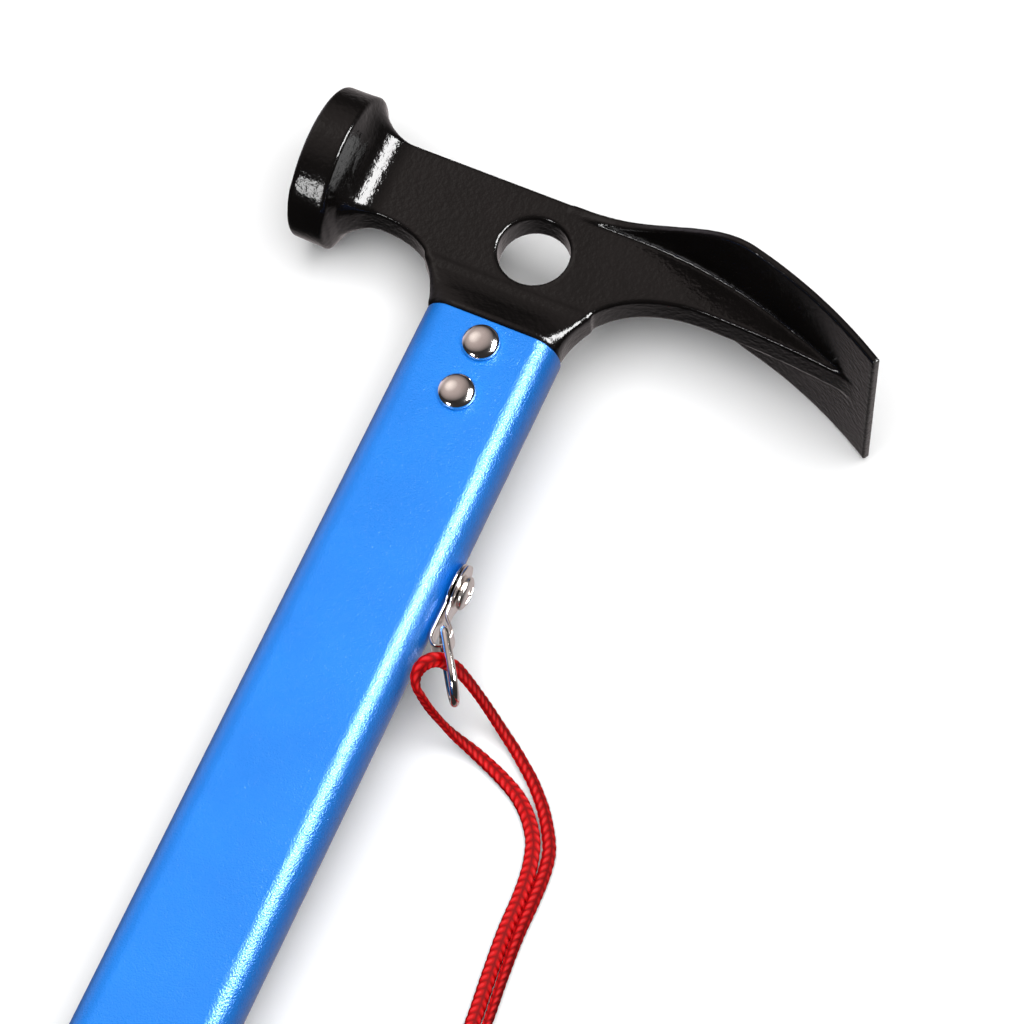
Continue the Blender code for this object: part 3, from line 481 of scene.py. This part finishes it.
def head_field(x, y, z):
    """Distance below or above the head's skin, in millimetres, negative inside the steel.

    The web is an outline given thickness. The blade lies under an arc, as wide as its flare
    allows. The poll is a crowned disc. The flare closes a squared oval up into the web.
    """
    thick = np.abs(z)
    centre_y = HEAD_TOP - BEND_RADIUS
    bent = x > BEND_X
    depth = np.where(bent, BEND_RADIUS - np.hypot(x - BEND_X, y - centre_y), HEAD_TOP - y)
    run = np.where(bent, BEND_RADIUS * np.arctan2(x - BEND_X, y - centre_y), x - BEND_X)
    web = meet(outline_distance(x, y, HEAD_OUTLINE), thick - WEB_HALF, WEB_EDGE)
    share = np.clip((run + BEND_X - BLADE_START_X) / BLADE_FLARE, 0, 1) ** BLADE_SPREAD_POWER
    half = (WEB_INNER_HALF + (BLADE_HALF - WEB_HALF) * ease(share)
            + BLADE_EXTRA * ease((x - BLADE_START_X) / BLADE_EXTRA_RUN))
    swell = np.exp(-np.maximum(thick - WEB_HALF, 0) / BLADE_SWELL_FADE)
    swell = swell * np.clip((RIB_END_X - BEND_X - run) / BLADE_SWELL_END, 0, 1)
    leaf = BLADE_EDGE + (BLADE_ROOT - BLADE_EDGE) * swell
    blade = meet(np.maximum(depth - leaf, -depth), (thick - half) * BLADE_SIDE_SLOPE,
                 BLADE_SIDE_ROUND)
    blade = meet(blade, run - BLADE_LENGTH, TIP_ROUND)
    blade = np.maximum(blade, BLADE_START_X - x)
    body = join(web, blade, BLADE_FILLET)
    height = np.clip(y / FLARE_HEIGHT, 0, 1)
    left = corner_x(NOTCH, y) + FLARE_INSET + FLARE_NOTCH_INSET * (1 - ease(y / FLARE_NOTCH_RISE))
    right = corner_x(RIB, y) - FLARE_INSET
    middle = (left + right) / 2
    closing = np.clip((height - FLARE_FOOT_SHARE) / (1 - FLARE_FOOT_SHARE), 0, 1)
    flare_half = FLARE_FOOT_HALF + (WEB_INNER_HALF - FLARE_FOOT_HALF) * closing
    power = FLARE_POWERS[0] + (FLARE_POWERS[1] - FLARE_POWERS[0]) * height**FLARE_POWER_EASE
    ratio = (np.abs((x - middle) / ((right - left) / 2)) ** power
             + (thick / flare_half) ** power) ** (1 / power)
    flare = meet((ratio - 1) * flare_half, np.maximum(TOUCH_GAP - y, y - FLARE_REACH),
                 FLARE_ROUND)
    body = join(body, flare, FLARE_BLEND)
    radius = np.hypot(y - POLL_Y, z)
    face = POLL_FACE_X + POLL_CROWN * (radius / POLL_RADIUS) ** 2
    slope_share = np.clip((POLL_RADIUS - radius) / (POLL_SLOPE_SHARE * POLL_RADIUS), 0, 1)
    back = POLL_BACK_X + POLL_SLOPE * slope_share
    poll = meet(meet(radius - POLL_RADIUS, face - x, POLL_FACE_ROUND), x - back, POLL_BACK_ROUND)
    body = join(body, poll, NECK_FILLET)
    body = meet(body, HOLE_RADIUS - np.hypot(x - HOLE_X, y - HOLE_Y), HOLE_RIM)
    slack = TUBE_WALL + TOUCH_GAP
    oval = np.hypot(np.maximum(np.abs(x) - TUBE_FLAT, 0) / (TUBE_BULGE - slack),
                    z / (TUBE_THICK - slack))
    tang = meet((oval - 1) * (TUBE_BULGE - slack),
                np.maximum(-TANG_LENGTH - y, y - TANG_OVERLAP), TANG_ROUND)
    body = np.minimum(body, tang)
    for bore_y in RIVET_Y:
        body = np.maximum(body, BORE_RADIUS - np.hypot(x, y - bore_y))
    return body


def skin_mesh(field, low, high, cell):
    """Skin of a solid given by its distance field.

    A point stands in each cell that the skin crosses, at the mean of the crossings on the cell's
    edges, and a face across each crossed grid edge. The points then move along the field's slope
    until they lie on the skin.
    """
    axes = [np.arange(low[n], high[n] + cell, cell) for n in range(3)]
    value = field(axes[0][:, None, None], axes[1][None, :, None], axes[2][None, None, :])
    inside = value < 0
    shape = np.array(inside.shape)
    corners = [(a, b, c) for a in (0, 1) for b in (0, 1) for c in (0, 1)]
    count = np.zeros(shape - 1, np.uint8)
    for a, b, c in corners:
        count += inside[a:shape[0] - 1 + a, b:shape[1] - 1 + b, c:shape[2] - 1 + c]
    cells = np.argwhere((count > 0) & (count < 8))
    index = np.full(shape - 1, -1, np.int64)
    index[tuple(cells.T)] = np.arange(len(cells))
    held = np.stack([value[tuple((cells + corner).T)] for corner in corners], axis=1)
    total = np.zeros((len(cells), 3))
    hits = np.zeros(len(cells))
    for m in range(8):
        for n in range(m + 1, 8):
            first, second = np.array(corners[m]), np.array(corners[n])
            if np.abs(first - second).sum() != 1:
                continue
            crossed = (held[:, m] < 0) != (held[:, n] < 0)
            share = held[crossed, m] / (held[crossed, m] - held[crossed, n])
            total[crossed] += first + share[:, None] * (second - first)
            hits[crossed] += 1
    points = np.array(low) + (cells + total / hits[:, None]) * cell
    faces = []
    for axis in range(3):
        ahead = np.roll(inside, -1, axis=axis)
        crossed = inside != ahead
        spots = np.argwhere(crossed)
        one, two = [n for n in range(3) if n != axis]
        keep = ((spots[:, axis] < shape[axis] - 1) & (spots[:, one] > 0) & (spots[:, two] > 0)
                & (spots[:, one] < shape[one] - 1) & (spots[:, two] < shape[two] - 1))
        spots = spots[keep]
        loop = []
        for step_one, step_two in ((1, 1), (0, 1), (0, 0), (1, 0)):
            around = spots.copy()
            around[:, one] -= step_one
            around[:, two] -= step_two
            loop.append(index[tuple(around.T)])
        quads = np.stack(loop, axis=1)
        flip = inside[tuple(spots.T)] != (axis == 1)
        quads[~flip] = quads[~flip][:, ::-1]
        faces.append(quads)
    for _ in range(SKIN_ROUNDS):
        here = field(*points.T)
        slope = np.stack([field(*(points + step).T) - field(*(points - step).T)
                          for step in SKIN_NUDGE * np.eye(3)], axis=1) / (2 * SKIN_NUDGE)
        size = np.maximum((slope**2).sum(1), SKIN_FLATTEST)
        move = -here[:, None] * slope / size[:, None]
        points += np.clip(move, -SKIN_MOVE * cell, SKIN_MOVE * cell)
    return points, np.vstack(faces)


head_low = (POLL_FACE_X - HEAD_MARGIN, -TANG_LENGTH - HEAD_MARGIN, -BLADE_HALF - HEAD_MARGIN)
head_high = (BLADE_TIP_X + TIP_MARGIN, POLL_Y + POLL_RADIUS + HEAD_MARGIN, BLADE_HALF + HEAD_MARGIN)
head_points, head_faces = skin_mesh(head_field, head_low, head_high, HEAD_CELL)
head_mesh = bpy.data.meshes.new("forged_head")
head_mesh.from_pydata(laid(head_points).tolist(), [], head_faces.tolist())
tip_run = BEND_RADIUS * np.arctan2(head_points[:, 0] - BEND_X,
                                   head_points[:, 1] - HEAD_TOP + BEND_RADIUS)
tip_wear = np.clip((tip_run - BLADE_LENGTH + WEAR_START) / WEAR_RAMP, 0, 1)
tip_wear = tip_wear * (head_points[:, 0] > BEND_X)
wear_layer = head_mesh.attributes.new("tip_wear", "FLOAT", "POINT")
wear_layer.data.foreach_set("value", tip_wear.astype(np.float32))
head_mesh.update()
if sum_volume(head_mesh) < 0:
    head_mesh.flip_normals()
head_mesh.shade_smooth()
forged_head = bpy.data.objects.new("forged_head", head_mesh)
bpy.context.scene.collection.objects.link(forged_head)


def grain_group():
    """Fine surface grain: a fine noise, out as a height, and a broad one, out as a soft mask."""
    group = bpy.data.node_groups.new("fine_grain", "ShaderNodeTree")
    for socket, value in (("Grain Size", 1500.0), ("Patch Size", 60.0)):
        made = group.interface.new_socket(socket, in_out="INPUT", socket_type="NodeSocketFloat")
        made.default_value = value
    for socket in ("Height", "Patches"):
        group.interface.new_socket(socket, in_out="OUTPUT", socket_type="NodeSocketFloat")
    entry = group.nodes.new("NodeGroupInput")
    leave = group.nodes.new("NodeGroupOutput")
    coords = group.nodes.new("ShaderNodeTexCoord")
    for target, size, detail in (("Height", "Grain Size", 2.0), ("Patches", "Patch Size", 4.0)):
        noise = group.nodes.new("ShaderNodeTexNoise")
        noise.inputs["Detail"].default_value = detail
        noise.inputs["Roughness"].default_value = 0.55
        group.links.new(coords.outputs["Object"], noise.inputs["Vector"])
        group.links.new(entry.outputs[size], noise.inputs["Scale"])
        group.links.new(noise.outputs["Fac"], leave.inputs[target])
    return group


FINE_GRAIN = grain_group()


def finish_material(name, dark, light, roughness, grain, patches, bump, bump_depth, metallic=0.0):
    """A Principled finish whose colour and roughness wander in patches over a grained surface."""
    material = bpy.data.materials.new(name)
    material.use_nodes = True
    nodes, links = material.node_tree.nodes, material.node_tree.links
    shader = nodes["Principled BSDF"]
    shader.inputs["Metallic"].default_value = metallic
    surface = nodes.new("ShaderNodeGroup")
    surface.name = "grain"
    surface.node_tree = FINE_GRAIN
    surface.inputs["Grain Size"].default_value = grain
    surface.inputs["Patch Size"].default_value = patches
    colour = nodes.new("ShaderNodeValToRGB")
    colour.name = "colour"
    colour.color_ramp.elements[0].position = 0.35
    colour.color_ramp.elements[0].color = (*dark, 1.0)
    colour.color_ramp.elements[1].position = 0.65
    colour.color_ramp.elements[1].color = (*light, 1.0)
    links.new(surface.outputs["Patches"], colour.inputs["Fac"])
    links.new(colour.outputs["Color"], shader.inputs["Base Color"])
    gloss = nodes.new("ShaderNodeMapRange")
    gloss.name = "gloss"
    gloss.inputs["To Min"].default_value = roughness[0]
    gloss.inputs["To Max"].default_value = roughness[1]
    links.new(surface.outputs["Patches"], gloss.inputs["Value"])
    links.new(gloss.outputs["Result"], shader.inputs["Roughness"])
    relief = nodes.new("ShaderNodeBump")
    relief.inputs["Strength"].default_value = bump
    relief.inputs["Distance"].default_value = bump_depth
    links.new(surface.outputs["Height"], relief.inputs["Height"])
    links.new(relief.outputs["Normal"], shader.inputs["Normal"])
    return material


black_paint = finish_material(
    "gloss_black_paint", dark=(0.0042, 0.0036, 0.0034), light=(0.0060, 0.0050, 0.0048),
    roughness=(0.10, 0.17), grain=950.0, patches=90.0, bump=0.8, bump_depth=0.00013)
paint_nodes, paint_links = black_paint.node_tree.nodes, black_paint.node_tree.links
paint_shader = paint_nodes["Principled BSDF"]
paint_shader.inputs["Specular IOR Level"].default_value = 0.3
worn = paint_nodes.new("ShaderNodeAttribute")
worn.attribute_name = "tip_wear"
worn_edge = paint_nodes.new("ShaderNodeMath")
worn_edge.operation = "MULTIPLY"
worn_spots = paint_nodes.new("ShaderNodeMapRange")
worn_spots.inputs["From Min"].default_value = 0.3
worn_spots.inputs["From Max"].default_value = 0.5
paint_links.new(paint_nodes["grain"].outputs["Height"], worn_spots.inputs["Value"])
paint_links.new(worn.outputs["Fac"], worn_edge.inputs[0])
paint_links.new(worn_spots.outputs["Result"], worn_edge.inputs[1])
bare = paint_nodes.new("ShaderNodeMix")
bare.data_type = "RGBA"
bare.inputs["B"].default_value = (0.10, 0.095, 0.09, 1.0)
paint_links.new(worn_edge.outputs["Value"], bare.inputs["Factor"])
paint_links.new(paint_nodes["colour"].outputs["Color"], bare.inputs["A"])
paint_links.new(bare.outputs["Result"], paint_shader.inputs["Base Color"])
forged_head.data.materials.append(black_paint)
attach(forged_head, "hammer")
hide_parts("hammer_head")

# ---------------------------------------------------------------- handle tube
# A flat-oval aluminium tube, drawn, cut, bead blasted and anodised bright blue. Its cut rims are
# lightly broken, and the head's tang sits inside its upper end.

TUBE_LENGTH = 270.0
TUBE_RIM = 0.3
RIM_STEPS = 5
OVAL_STEPS = 72


def oval_points(inset):
    """The tube's oval, drawn in by inset: two half ellipses of the same flats, as (x, z)."""
    turn = np.linspace(-math.pi / 2, math.pi / 2, OVAL_STEPS)
    x = TUBE_FLAT + (TUBE_BULGE - inset) * np.cos(turn)
    z = (TUBE_THICK - inset) * np.sin(turn)
    return np.stack([np.concatenate([x, -x]), np.concatenate([z, -z])], axis=1)


def oval_rings(stations):
    """Rings of the oval at (y, inset) stations along the handle."""
    rings = []
    for y, inset in stations:
        flat = oval_points(inset)
        rings.append(laid(np.stack([flat[:, 0], np.full(len(flat), y), flat[:, 1]], axis=1)))
    return np.array(rings)


rim_turn = np.linspace(0, math.pi / 2, RIM_STEPS)
rim_in = TUBE_RIM * (1 - np.cos(rim_turn))
rim_up = TUBE_RIM * (1 - np.sin(rim_turn))
outer_end = [(-TUBE_LENGTH + up, inset) for up, inset in zip(rim_in, rim_up)]
outer_top = [(-up, inset) for up, inset in zip(rim_up, rim_in)]
inner_top = [(-up, TUBE_WALL - inset) for up, inset in zip(rim_in, rim_up)]
inner_end = [(-TUBE_LENGTH + up, TUBE_WALL - inset) for up, inset in zip(rim_up, rim_in)]
blue_tube = grid_mesh("blue_tube", oval_rings(outer_end + outer_top + inner_top + inner_end),
                      wrap_rings=True)
blue_anodising = finish_material(
    "blue_anodised_aluminium", dark=(0.003, 0.225, 0.84), light=(0.004, 0.245, 0.89),
    roughness=(0.23, 0.27), grain=2700.0, patches=45.0, bump=1.0, bump_depth=0.00014, metallic=0.2)
tube_shader = blue_anodising.node_tree.nodes["Principled BSDF"]
tube_shader.inputs["Specular IOR Level"].default_value = 0.75
blue_tube.data.materials.append(blue_anodising)
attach(blue_tube, "hammer")
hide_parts("handle_tube")

# ---------------------------------------------------------------- end plug
# A moulded black plastic plug, pushed into the tube's lower end. Its flange is as wide as the tube
# and rounded, with a shallow parting groove, and its stem grips the tube's inside.

PLUG_FLANGE = 2.4
PLUG_STEM = 12.0
PLUG_ROUND = 0.9
PLUG_ROUND_STEPS = 8
STEM_INSET = TUBE_WALL + TOUCH_GAP
STEM_CHAMFER = 0.5
STEM_MIDDLE = 7.6
# Depths below the flange's top, and insets, of its broken rim and its parting groove.
FLANGE_GROOVE = ((0.0, 0.25), (0.2, 0.0), (0.55, 0.0), (0.65, 0.15), (0.8, 0.15), (0.9, 0.0))
FACE_INSETS = (3.0, 5.0)

plug_top = -TUBE_LENGTH - TOUCH_GAP
plug_turn = np.linspace(0, math.pi / 2, PLUG_ROUND_STEPS)
plug_stations = [(plug_top + PLUG_STEM, STEM_MIDDLE),
                 (plug_top + PLUG_STEM, STEM_INSET + STEM_CHAMFER),
                 (plug_top + PLUG_STEM - STEM_CHAMFER, STEM_INSET), (plug_top, STEM_INSET)]
plug_stations += [(plug_top - groove_depth, inset) for groove_depth, inset in FLANGE_GROOVE]
plug_stations += [(plug_top - PLUG_FLANGE + PLUG_ROUND * (1 - math.sin(t)),
                   PLUG_ROUND * (1 - math.cos(t))) for t in plug_turn]
plug_stations += [(plug_top - PLUG_FLANGE, inset) for inset in FACE_INSETS]
end_plug = grid_mesh("end_plug", oval_rings(plug_stations))
end_plug.data.materials.append(
    finish_material("black_moulded_plastic", dark=(0.012, 0.012, 0.013), light=(0.02, 0.02, 0.021),
                    roughness=(0.42, 0.56), grain=2600.0, patches=120.0, bump=0.5,
                    bump_depth=0.00004))
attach(end_plug, "hammer")
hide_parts("handle_end_cap")

# ---------------------------------------------------------------- rivets
# Two nickel plated steel rivets through tube and tang, set with domed heads on both flats. The
# setting tool leaves a slightly flattened crown and a thin rolled edge.

RIVET_HEAD = 4.0
RIVET_HEIGHT = 2.1
RIVET_SHANK = 2.0
RIVET_EDGE = 0.3
RIVET_EDGE_FOOT = 0.1
RIVET_EDGE_INSET = 0.12
DOME_POWERS = (0.94, 0.9)
DOME_STEPS = 22
ROUND_SIDES = 112


def turned_rings(profile, sides=ROUND_SIDES):
    """A profile of (radius, height) turned about its own axis: (r cos, r sin, height)."""
    profile = np.array(profile)
    turn = np.linspace(0, 2 * math.pi, sides, endpoint=False)
    return np.stack([profile[:, :1] * np.cos(turn), profile[:, :1] * np.sin(turn),
                     np.repeat(profile[:, 1:], sides, axis=1)], axis=-1)


nickel = finish_material(
    "polished_nickel", dark=(0.80, 0.75, 0.72), light=(0.90, 0.85, 0.82), roughness=(0.07, 0.15),
    grain=900.0, patches=260.0, bump=0.18, bump_depth=0.00003, metallic=1.0)
rivet_seat = TUBE_THICK + TOUCH_GAP
rivet_turn = np.linspace(0.02, math.pi / 2, DOME_STEPS)
rivet_dome = [(RIVET_HEAD * math.sin(t) ** DOME_POWERS[0], rivet_seat + RIVET_EDGE
               + (RIVET_HEIGHT - RIVET_EDGE) * math.cos(t) ** DOME_POWERS[1]) for t in rivet_turn]
rivet_half = [*rivet_dome, (RIVET_HEAD, rivet_seat + RIVET_EDGE_FOOT),
              (RIVET_HEAD - RIVET_EDGE_INSET, rivet_seat), (RIVET_SHANK, rivet_seat)]
rivet_profile = rivet_half + [(r, -h) for r, h in reversed(rivet_half)]
for rivet_name, rivet_y in zip(("upper", "lower"), RIVET_Y):
    rivet_rings = turned_rings(rivet_profile) + np.array((0.0, rivet_y, 0.0))
    rivet = grid_mesh(f"rivet_{rivet_name}", laid(rivet_rings))
    rivet.data.materials.append(nickel)
    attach(rivet, "hammer")
    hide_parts(f"head_rivet_{rivet_name}")

# ---------------------------------------------------------------- lanyard tab
# A strip of nickel plated sheet, rounded at both ends, folded double round the ring's bar and
# held to the tube's edge by one screw through both leaves.

TAB_SCREW_Y = -54.0
TAB_SHEET = 0.7
TAB_PAD = 5.6
TAB_NECK = 3.6
TAB_EYE_Y = -64.8
TAB_EYE_HALF = 2.6
TAB_EYE_NECK = 2.2 * TAB_EYE_HALF
RING_WIRE = 0.9
RUNNING_GAP = 0.7
TAB_STEP = 0.12
TAB_SIDES = 40
TAB_FACE_POWER = 0.25
TAB_EDGE_POWER = 0.6
LEAF_IN = TUBE_WIDE + TOUCH_GAP + TAB_SHEET / 2
LEAF_OUT = LEAF_IN + TAB_SHEET + TOUCH_GAP
EYE_WIDE = RING_WIRE + RUNNING_GAP + TAB_SHEET / 2
EYE_X = LEAF_IN + EYE_WIDE

pad_top = TAB_SCREW_Y + TAB_PAD
eye_turn = np.radians(range(40, -171, -30))
tab_line = [(LEAF_OUT, pad_top, 0), (LEAF_OUT, TAB_SCREW_Y, 0),
            (LEAF_OUT, TAB_EYE_Y + TAB_EYE_NECK, 0),
            (LEAF_OUT + 0.2 * EYE_WIDE, TAB_EYE_Y + 1.5 * TAB_EYE_HALF, 0)]
tab_line += [(EYE_X + EYE_WIDE * math.cos(t), TAB_EYE_Y + TAB_EYE_HALF * math.sin(t), 0)
             for t in eye_turn]
tab_line += [(LEAF_IN, TAB_EYE_Y + 0.8 * TAB_EYE_HALF, 0),
             (LEAF_IN, TAB_EYE_Y + TAB_EYE_NECK, 0), (LEAF_IN, TAB_SCREW_Y, 0),
             (LEAF_IN, pad_top, 0)]
tab_route, tab_marks = smooth_route(tab_line, TAB_STEP)
tab_ahead = unit(np.gradient(tab_route, axis=0))
tab_normal = np.stack([-tab_ahead[:, 1], tab_ahead[:, 0], np.zeros(len(tab_ahead))], axis=1)
end_run = np.minimum(tab_marks, tab_marks[-1] - tab_marks)
pad_half = np.sqrt(np.maximum(TAB_PAD**2 - (TAB_PAD - end_run) ** 2, 0.01))
tab_half = np.where(end_run < TAB_PAD, pad_half, np.maximum(pad_half, TAB_NECK))
strip_turn = np.linspace(0, 2 * math.pi, TAB_SIDES, endpoint=False)
strip_wide = np.sign(np.cos(strip_turn)) * np.abs(np.cos(strip_turn)) ** TAB_FACE_POWER
strip_thin = np.sign(np.sin(strip_turn)) * np.abs(np.sin(strip_turn)) ** TAB_EDGE_POWER
strip_thin = strip_thin * TAB_SHEET / 2
tab_rings = (tab_route[:, None, :] + tab_normal[:, None, :] * strip_thin[None, :, None]
             + np.array((0.0, 0.0, 1.0)) * (tab_half[:, None] * strip_wide[None, :])[..., None])
tab_strip = grid_mesh("tab_strip", laid(tab_rings))
tab_strip.data.materials.append(nickel)
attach(tab_strip, "hammer")
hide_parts("lanyard_tab")

# ---------------------------------------------------------------- tab screw
# A pan head screw with a cross recess, nickel plated, driven through the tab into the tube wall.

SCREW_HEAD = 3.6
SCREW_HEIGHT = 1.7
SCREW_SHANK = 1.7
SCREW_INSIDE = 9.0
RECESS_ARM = 2.0
RECESS_HALF = 0.45
RECESS_DEPTH = 1.1
RECESS_SLOPE = 0.15
PAN_EDGE = 0.5
PAN_CHAMFER = 0.15
PAN_STEPS = 60
PAN_SIDES = 200
SCREW_POINT = 1.5

screw_seat = LEAF_OUT + TAB_SHEET / 2 + TOUCH_GAP
screw_reach = screw_seat - (TUBE_WIDE - TUBE_WALL) + SCREW_INSIDE
screw_turn = np.linspace(0.01, math.pi / 2, PAN_STEPS)
screw_profile = [(SCREW_HEAD * math.sin(t), PAN_EDGE + (SCREW_HEIGHT - PAN_EDGE) * math.cos(t))
                 for t in screw_turn]
screw_profile += [(SCREW_HEAD, PAN_CHAMFER), (SCREW_HEAD - PAN_CHAMFER, 0.0), (SCREW_SHANK, 0.0),
                  (SCREW_SHANK, -screw_reach), (0.01, -screw_reach - SCREW_POINT)]
screw_rings = turned_rings(screw_profile, sides=PAN_SIDES)
screw_x, screw_y, screw_top = screw_rings[..., 0], screw_rings[..., 1], screw_rings[..., 2]
arm = np.minimum(np.maximum(np.abs(screw_x) - RECESS_ARM, np.abs(screw_y) - RECESS_HALF),
                 np.maximum(np.abs(screw_y) - RECESS_ARM, np.abs(screw_x) - RECESS_HALF))
screw_rings[..., 2] -= RECESS_DEPTH * np.clip(-arm / RECESS_SLOPE, 0, 1) * (screw_top > 0.4)
screw_local = np.stack([screw_seat + screw_rings[..., 2], TAB_SCREW_Y + screw_rings[..., 0],
                        screw_rings[..., 1]], axis=-1)
cross_screw = grid_mesh("cross_screw", laid(screw_local))
cross_screw.data.materials.append(
    finish_material("satin_nickel", dark=(0.78, 0.74, 0.71), light=(0.88, 0.84, 0.81),
                    roughness=(0.18, 0.28), grain=1400.0, patches=300.0, bump=0.3,
                    bump_depth=0.00004, metallic=1.0))
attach(cross_screw, "hammer")
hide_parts("tab_screw")

# ---------------------------------------------------------------- ring
# A ring of nickel plated steel wire, bent to a D. Its straight bar turns in the tab's eye.

RING_LENGTH = 14.0
RING_HALF = 5.0
RING_CORNER = 1.3
RING_SWING = math.radians(34.0)
WIRE_SIDES = 28

ring_pivot = np.array(frame["joints"][0]["pos_m"])
ring_line = []
for arc_z, arc_y, radius_z, radius_y, first, last in (
        (RING_HALF - RING_CORNER, -RING_CORNER, RING_CORNER, RING_CORNER, 90, 0),
        (0.0, RING_HALF - RING_LENGTH, RING_HALF, RING_HALF, 0, -180),
        (RING_CORNER - RING_HALF, -RING_CORNER, RING_CORNER, RING_CORNER, 180, 90)):
    arc = np.radians(np.linspace(first, last, 4 + abs(last - first) // 5))
    ring_line += np.stack([0 * arc, arc_y + radius_y * np.sin(arc), arc_z + radius_z * np.cos(arc)],
                          axis=1).tolist()
ring_line = np.array(ring_line)
ring_ahead = unit(np.roll(ring_line, -1, axis=0) - np.roll(ring_line, 1, axis=0))
ring_out = np.cross(ring_ahead, (1.0, 0.0, 0.0))
wire_turn = np.linspace(0, 2 * math.pi, WIRE_SIDES, endpoint=False)
ring_rings = (ring_line[:, None, :] + RING_WIRE * (
    np.cos(wire_turn)[None, :, None] * np.array((1.0, 0.0, 0.0))
    + np.sin(wire_turn)[None, :, None] * ring_out[:, None, :]))
swing = np.array(Matrix.Rotation(RING_SWING, 3, "Z"))
wire_ring = grid_mesh("wire_ring", ring_rings * MM @ swing.T + ring_pivot, wrap_rings=True)
wire_ring.data.materials.append(nickel)
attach(wire_ring, "lanyard")
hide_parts("lanyard_ring")

# ---------------------------------------------------------------- floor and light
# A plain white table under studio light: a long strip at the right, a small softbox in front, a
# broad fill overhead that makes no highlights, and three glows round it that only show reflected.

FLOOR_HALF = 3.0

floor_mesh = bpy.data.meshes.new("floor")
floor_corners = [(-FLOOR_HALF, -FLOOR_HALF, 0), (FLOOR_HALF, -FLOOR_HALF, 0),
                 (FLOOR_HALF, FLOOR_HALF, 0), (-FLOOR_HALF, FLOOR_HALF, 0)]
floor_mesh.from_pydata(floor_corners, [], [(0, 1, 2, 3)])
floor = bpy.data.objects.new("floor", floor_mesh)
bpy.context.scene.collection.objects.link(floor)
floor_material = bpy.data.materials.new("white_table")
floor_material.use_nodes = True
floor_shader = floor_material.node_tree.nodes["Principled BSDF"]
floor_shader.inputs["Base Color"].default_value = (0.93, 0.93, 0.93, 1.0)
floor_shader.inputs["Roughness"].default_value = 0.9
floor_mesh.materials.append(floor_material)
floor.visible_glossy = False
floor.visible_diffuse = False

LIGHT_CENTRE = Vector((0.0, 0.06, 0.02))
# Name, direction, distance, size along and up, power, and whether it makes the highlights.
LIGHTS = (("strip", (0.60, 0.32, 0.73), 0.9, (0.62, 0.38), 28.0, True),
          ("front", (-0.33, -0.86, 0.40), 1.0, (0.24, 0.24), 4.0, True),
          ("fill", (0.0, -0.1, 1.0), 1.5, (1.8, 1.8), 42.0, False))
for light_name, light_way, light_far, light_size, light_power, light_seen in LIGHTS:
    lamp = bpy.data.lights.new(light_name, "AREA")
    lamp.shape = "RECTANGLE"
    lamp.size, lamp.size_y = light_size
    lamp.energy = light_power
    holder = bpy.data.objects.new(light_name, lamp)
    holder.visible_glossy = light_seen
    holder.visible_diffuse = not light_seen
    bpy.context.scene.collection.objects.link(holder)
    way = Vector(light_way).normalized()
    holder.matrix_world = (Matrix.Translation(LIGHT_CENTRE + way * light_far)
                           @ way.to_track_quat("Z", "Y").to_matrix().to_4x4())

world = bpy.data.worlds.new("studio")
world.use_nodes = True
world_nodes, world_links = world.node_tree.nodes, world.node_tree.links
sky_place = world_nodes.new("ShaderNodeTexCoord")
# Each glow's direction, and its colour against how squarely a ray faces it.
GLOWS = (((-0.55, 0.33, 0.77), ((0.62, (0.03, 0.028, 0.028)), (0.955, (0.56, 0.48, 0.46)),
                                (1.0, (1.15, 1.05, 1.0)))),
         ((0.35, 0.50, -0.75), ((0.45, (0.0, 0.0, 0.0)), (0.60, (0.2, 0.18, 0.18)),
                                (0.86, (0.5, 0.45, 0.45)))),
         ((-0.92, 0.34, -0.17), ((0.80, (0.0, 0.0, 0.0)), (0.90, (0.3, 0.27, 0.3)),
                                 (1.0, (0.9, 0.8, 0.9)))))
sky_colour = None
for glow_way, glow_stops in GLOWS:
    sky_facing = world_nodes.new("ShaderNodeVectorMath")
    sky_facing.operation = "DOT_PRODUCT"
    sky_facing.inputs[1].default_value = Vector(glow_way).normalized()
    sky_glow = world_nodes.new("ShaderNodeValToRGB")
    stops = sky_glow.color_ramp.elements
    stops.new(glow_stops[1][0])
    for stop, (stop_place, stop_colour) in zip(stops, glow_stops):
        stop.position = stop_place
        stop.color = (*stop_colour, 1.0)
    world_links.new(sky_place.outputs["Generated"], sky_facing.inputs[0])
    world_links.new(sky_facing.outputs["Value"], sky_glow.inputs["Fac"])
    if sky_colour is None:
        sky_colour = sky_glow.outputs["Color"]
        continue
    sky_sum = world_nodes.new("ShaderNodeMix")
    sky_sum.data_type = "RGBA"
    sky_sum.blend_type = "ADD"
    sky_sum.inputs["Factor"].default_value = 1.0
    world_links.new(sky_colour, sky_sum.inputs["A"])
    world_links.new(sky_glow.outputs["Color"], sky_sum.inputs["B"])
    sky_colour = sky_sum.outputs["Result"]
world_links.new(sky_colour, world_nodes["Background"].inputs["Color"])
world.cycles_visibility.diffuse = False
bpy.context.scene.world = world
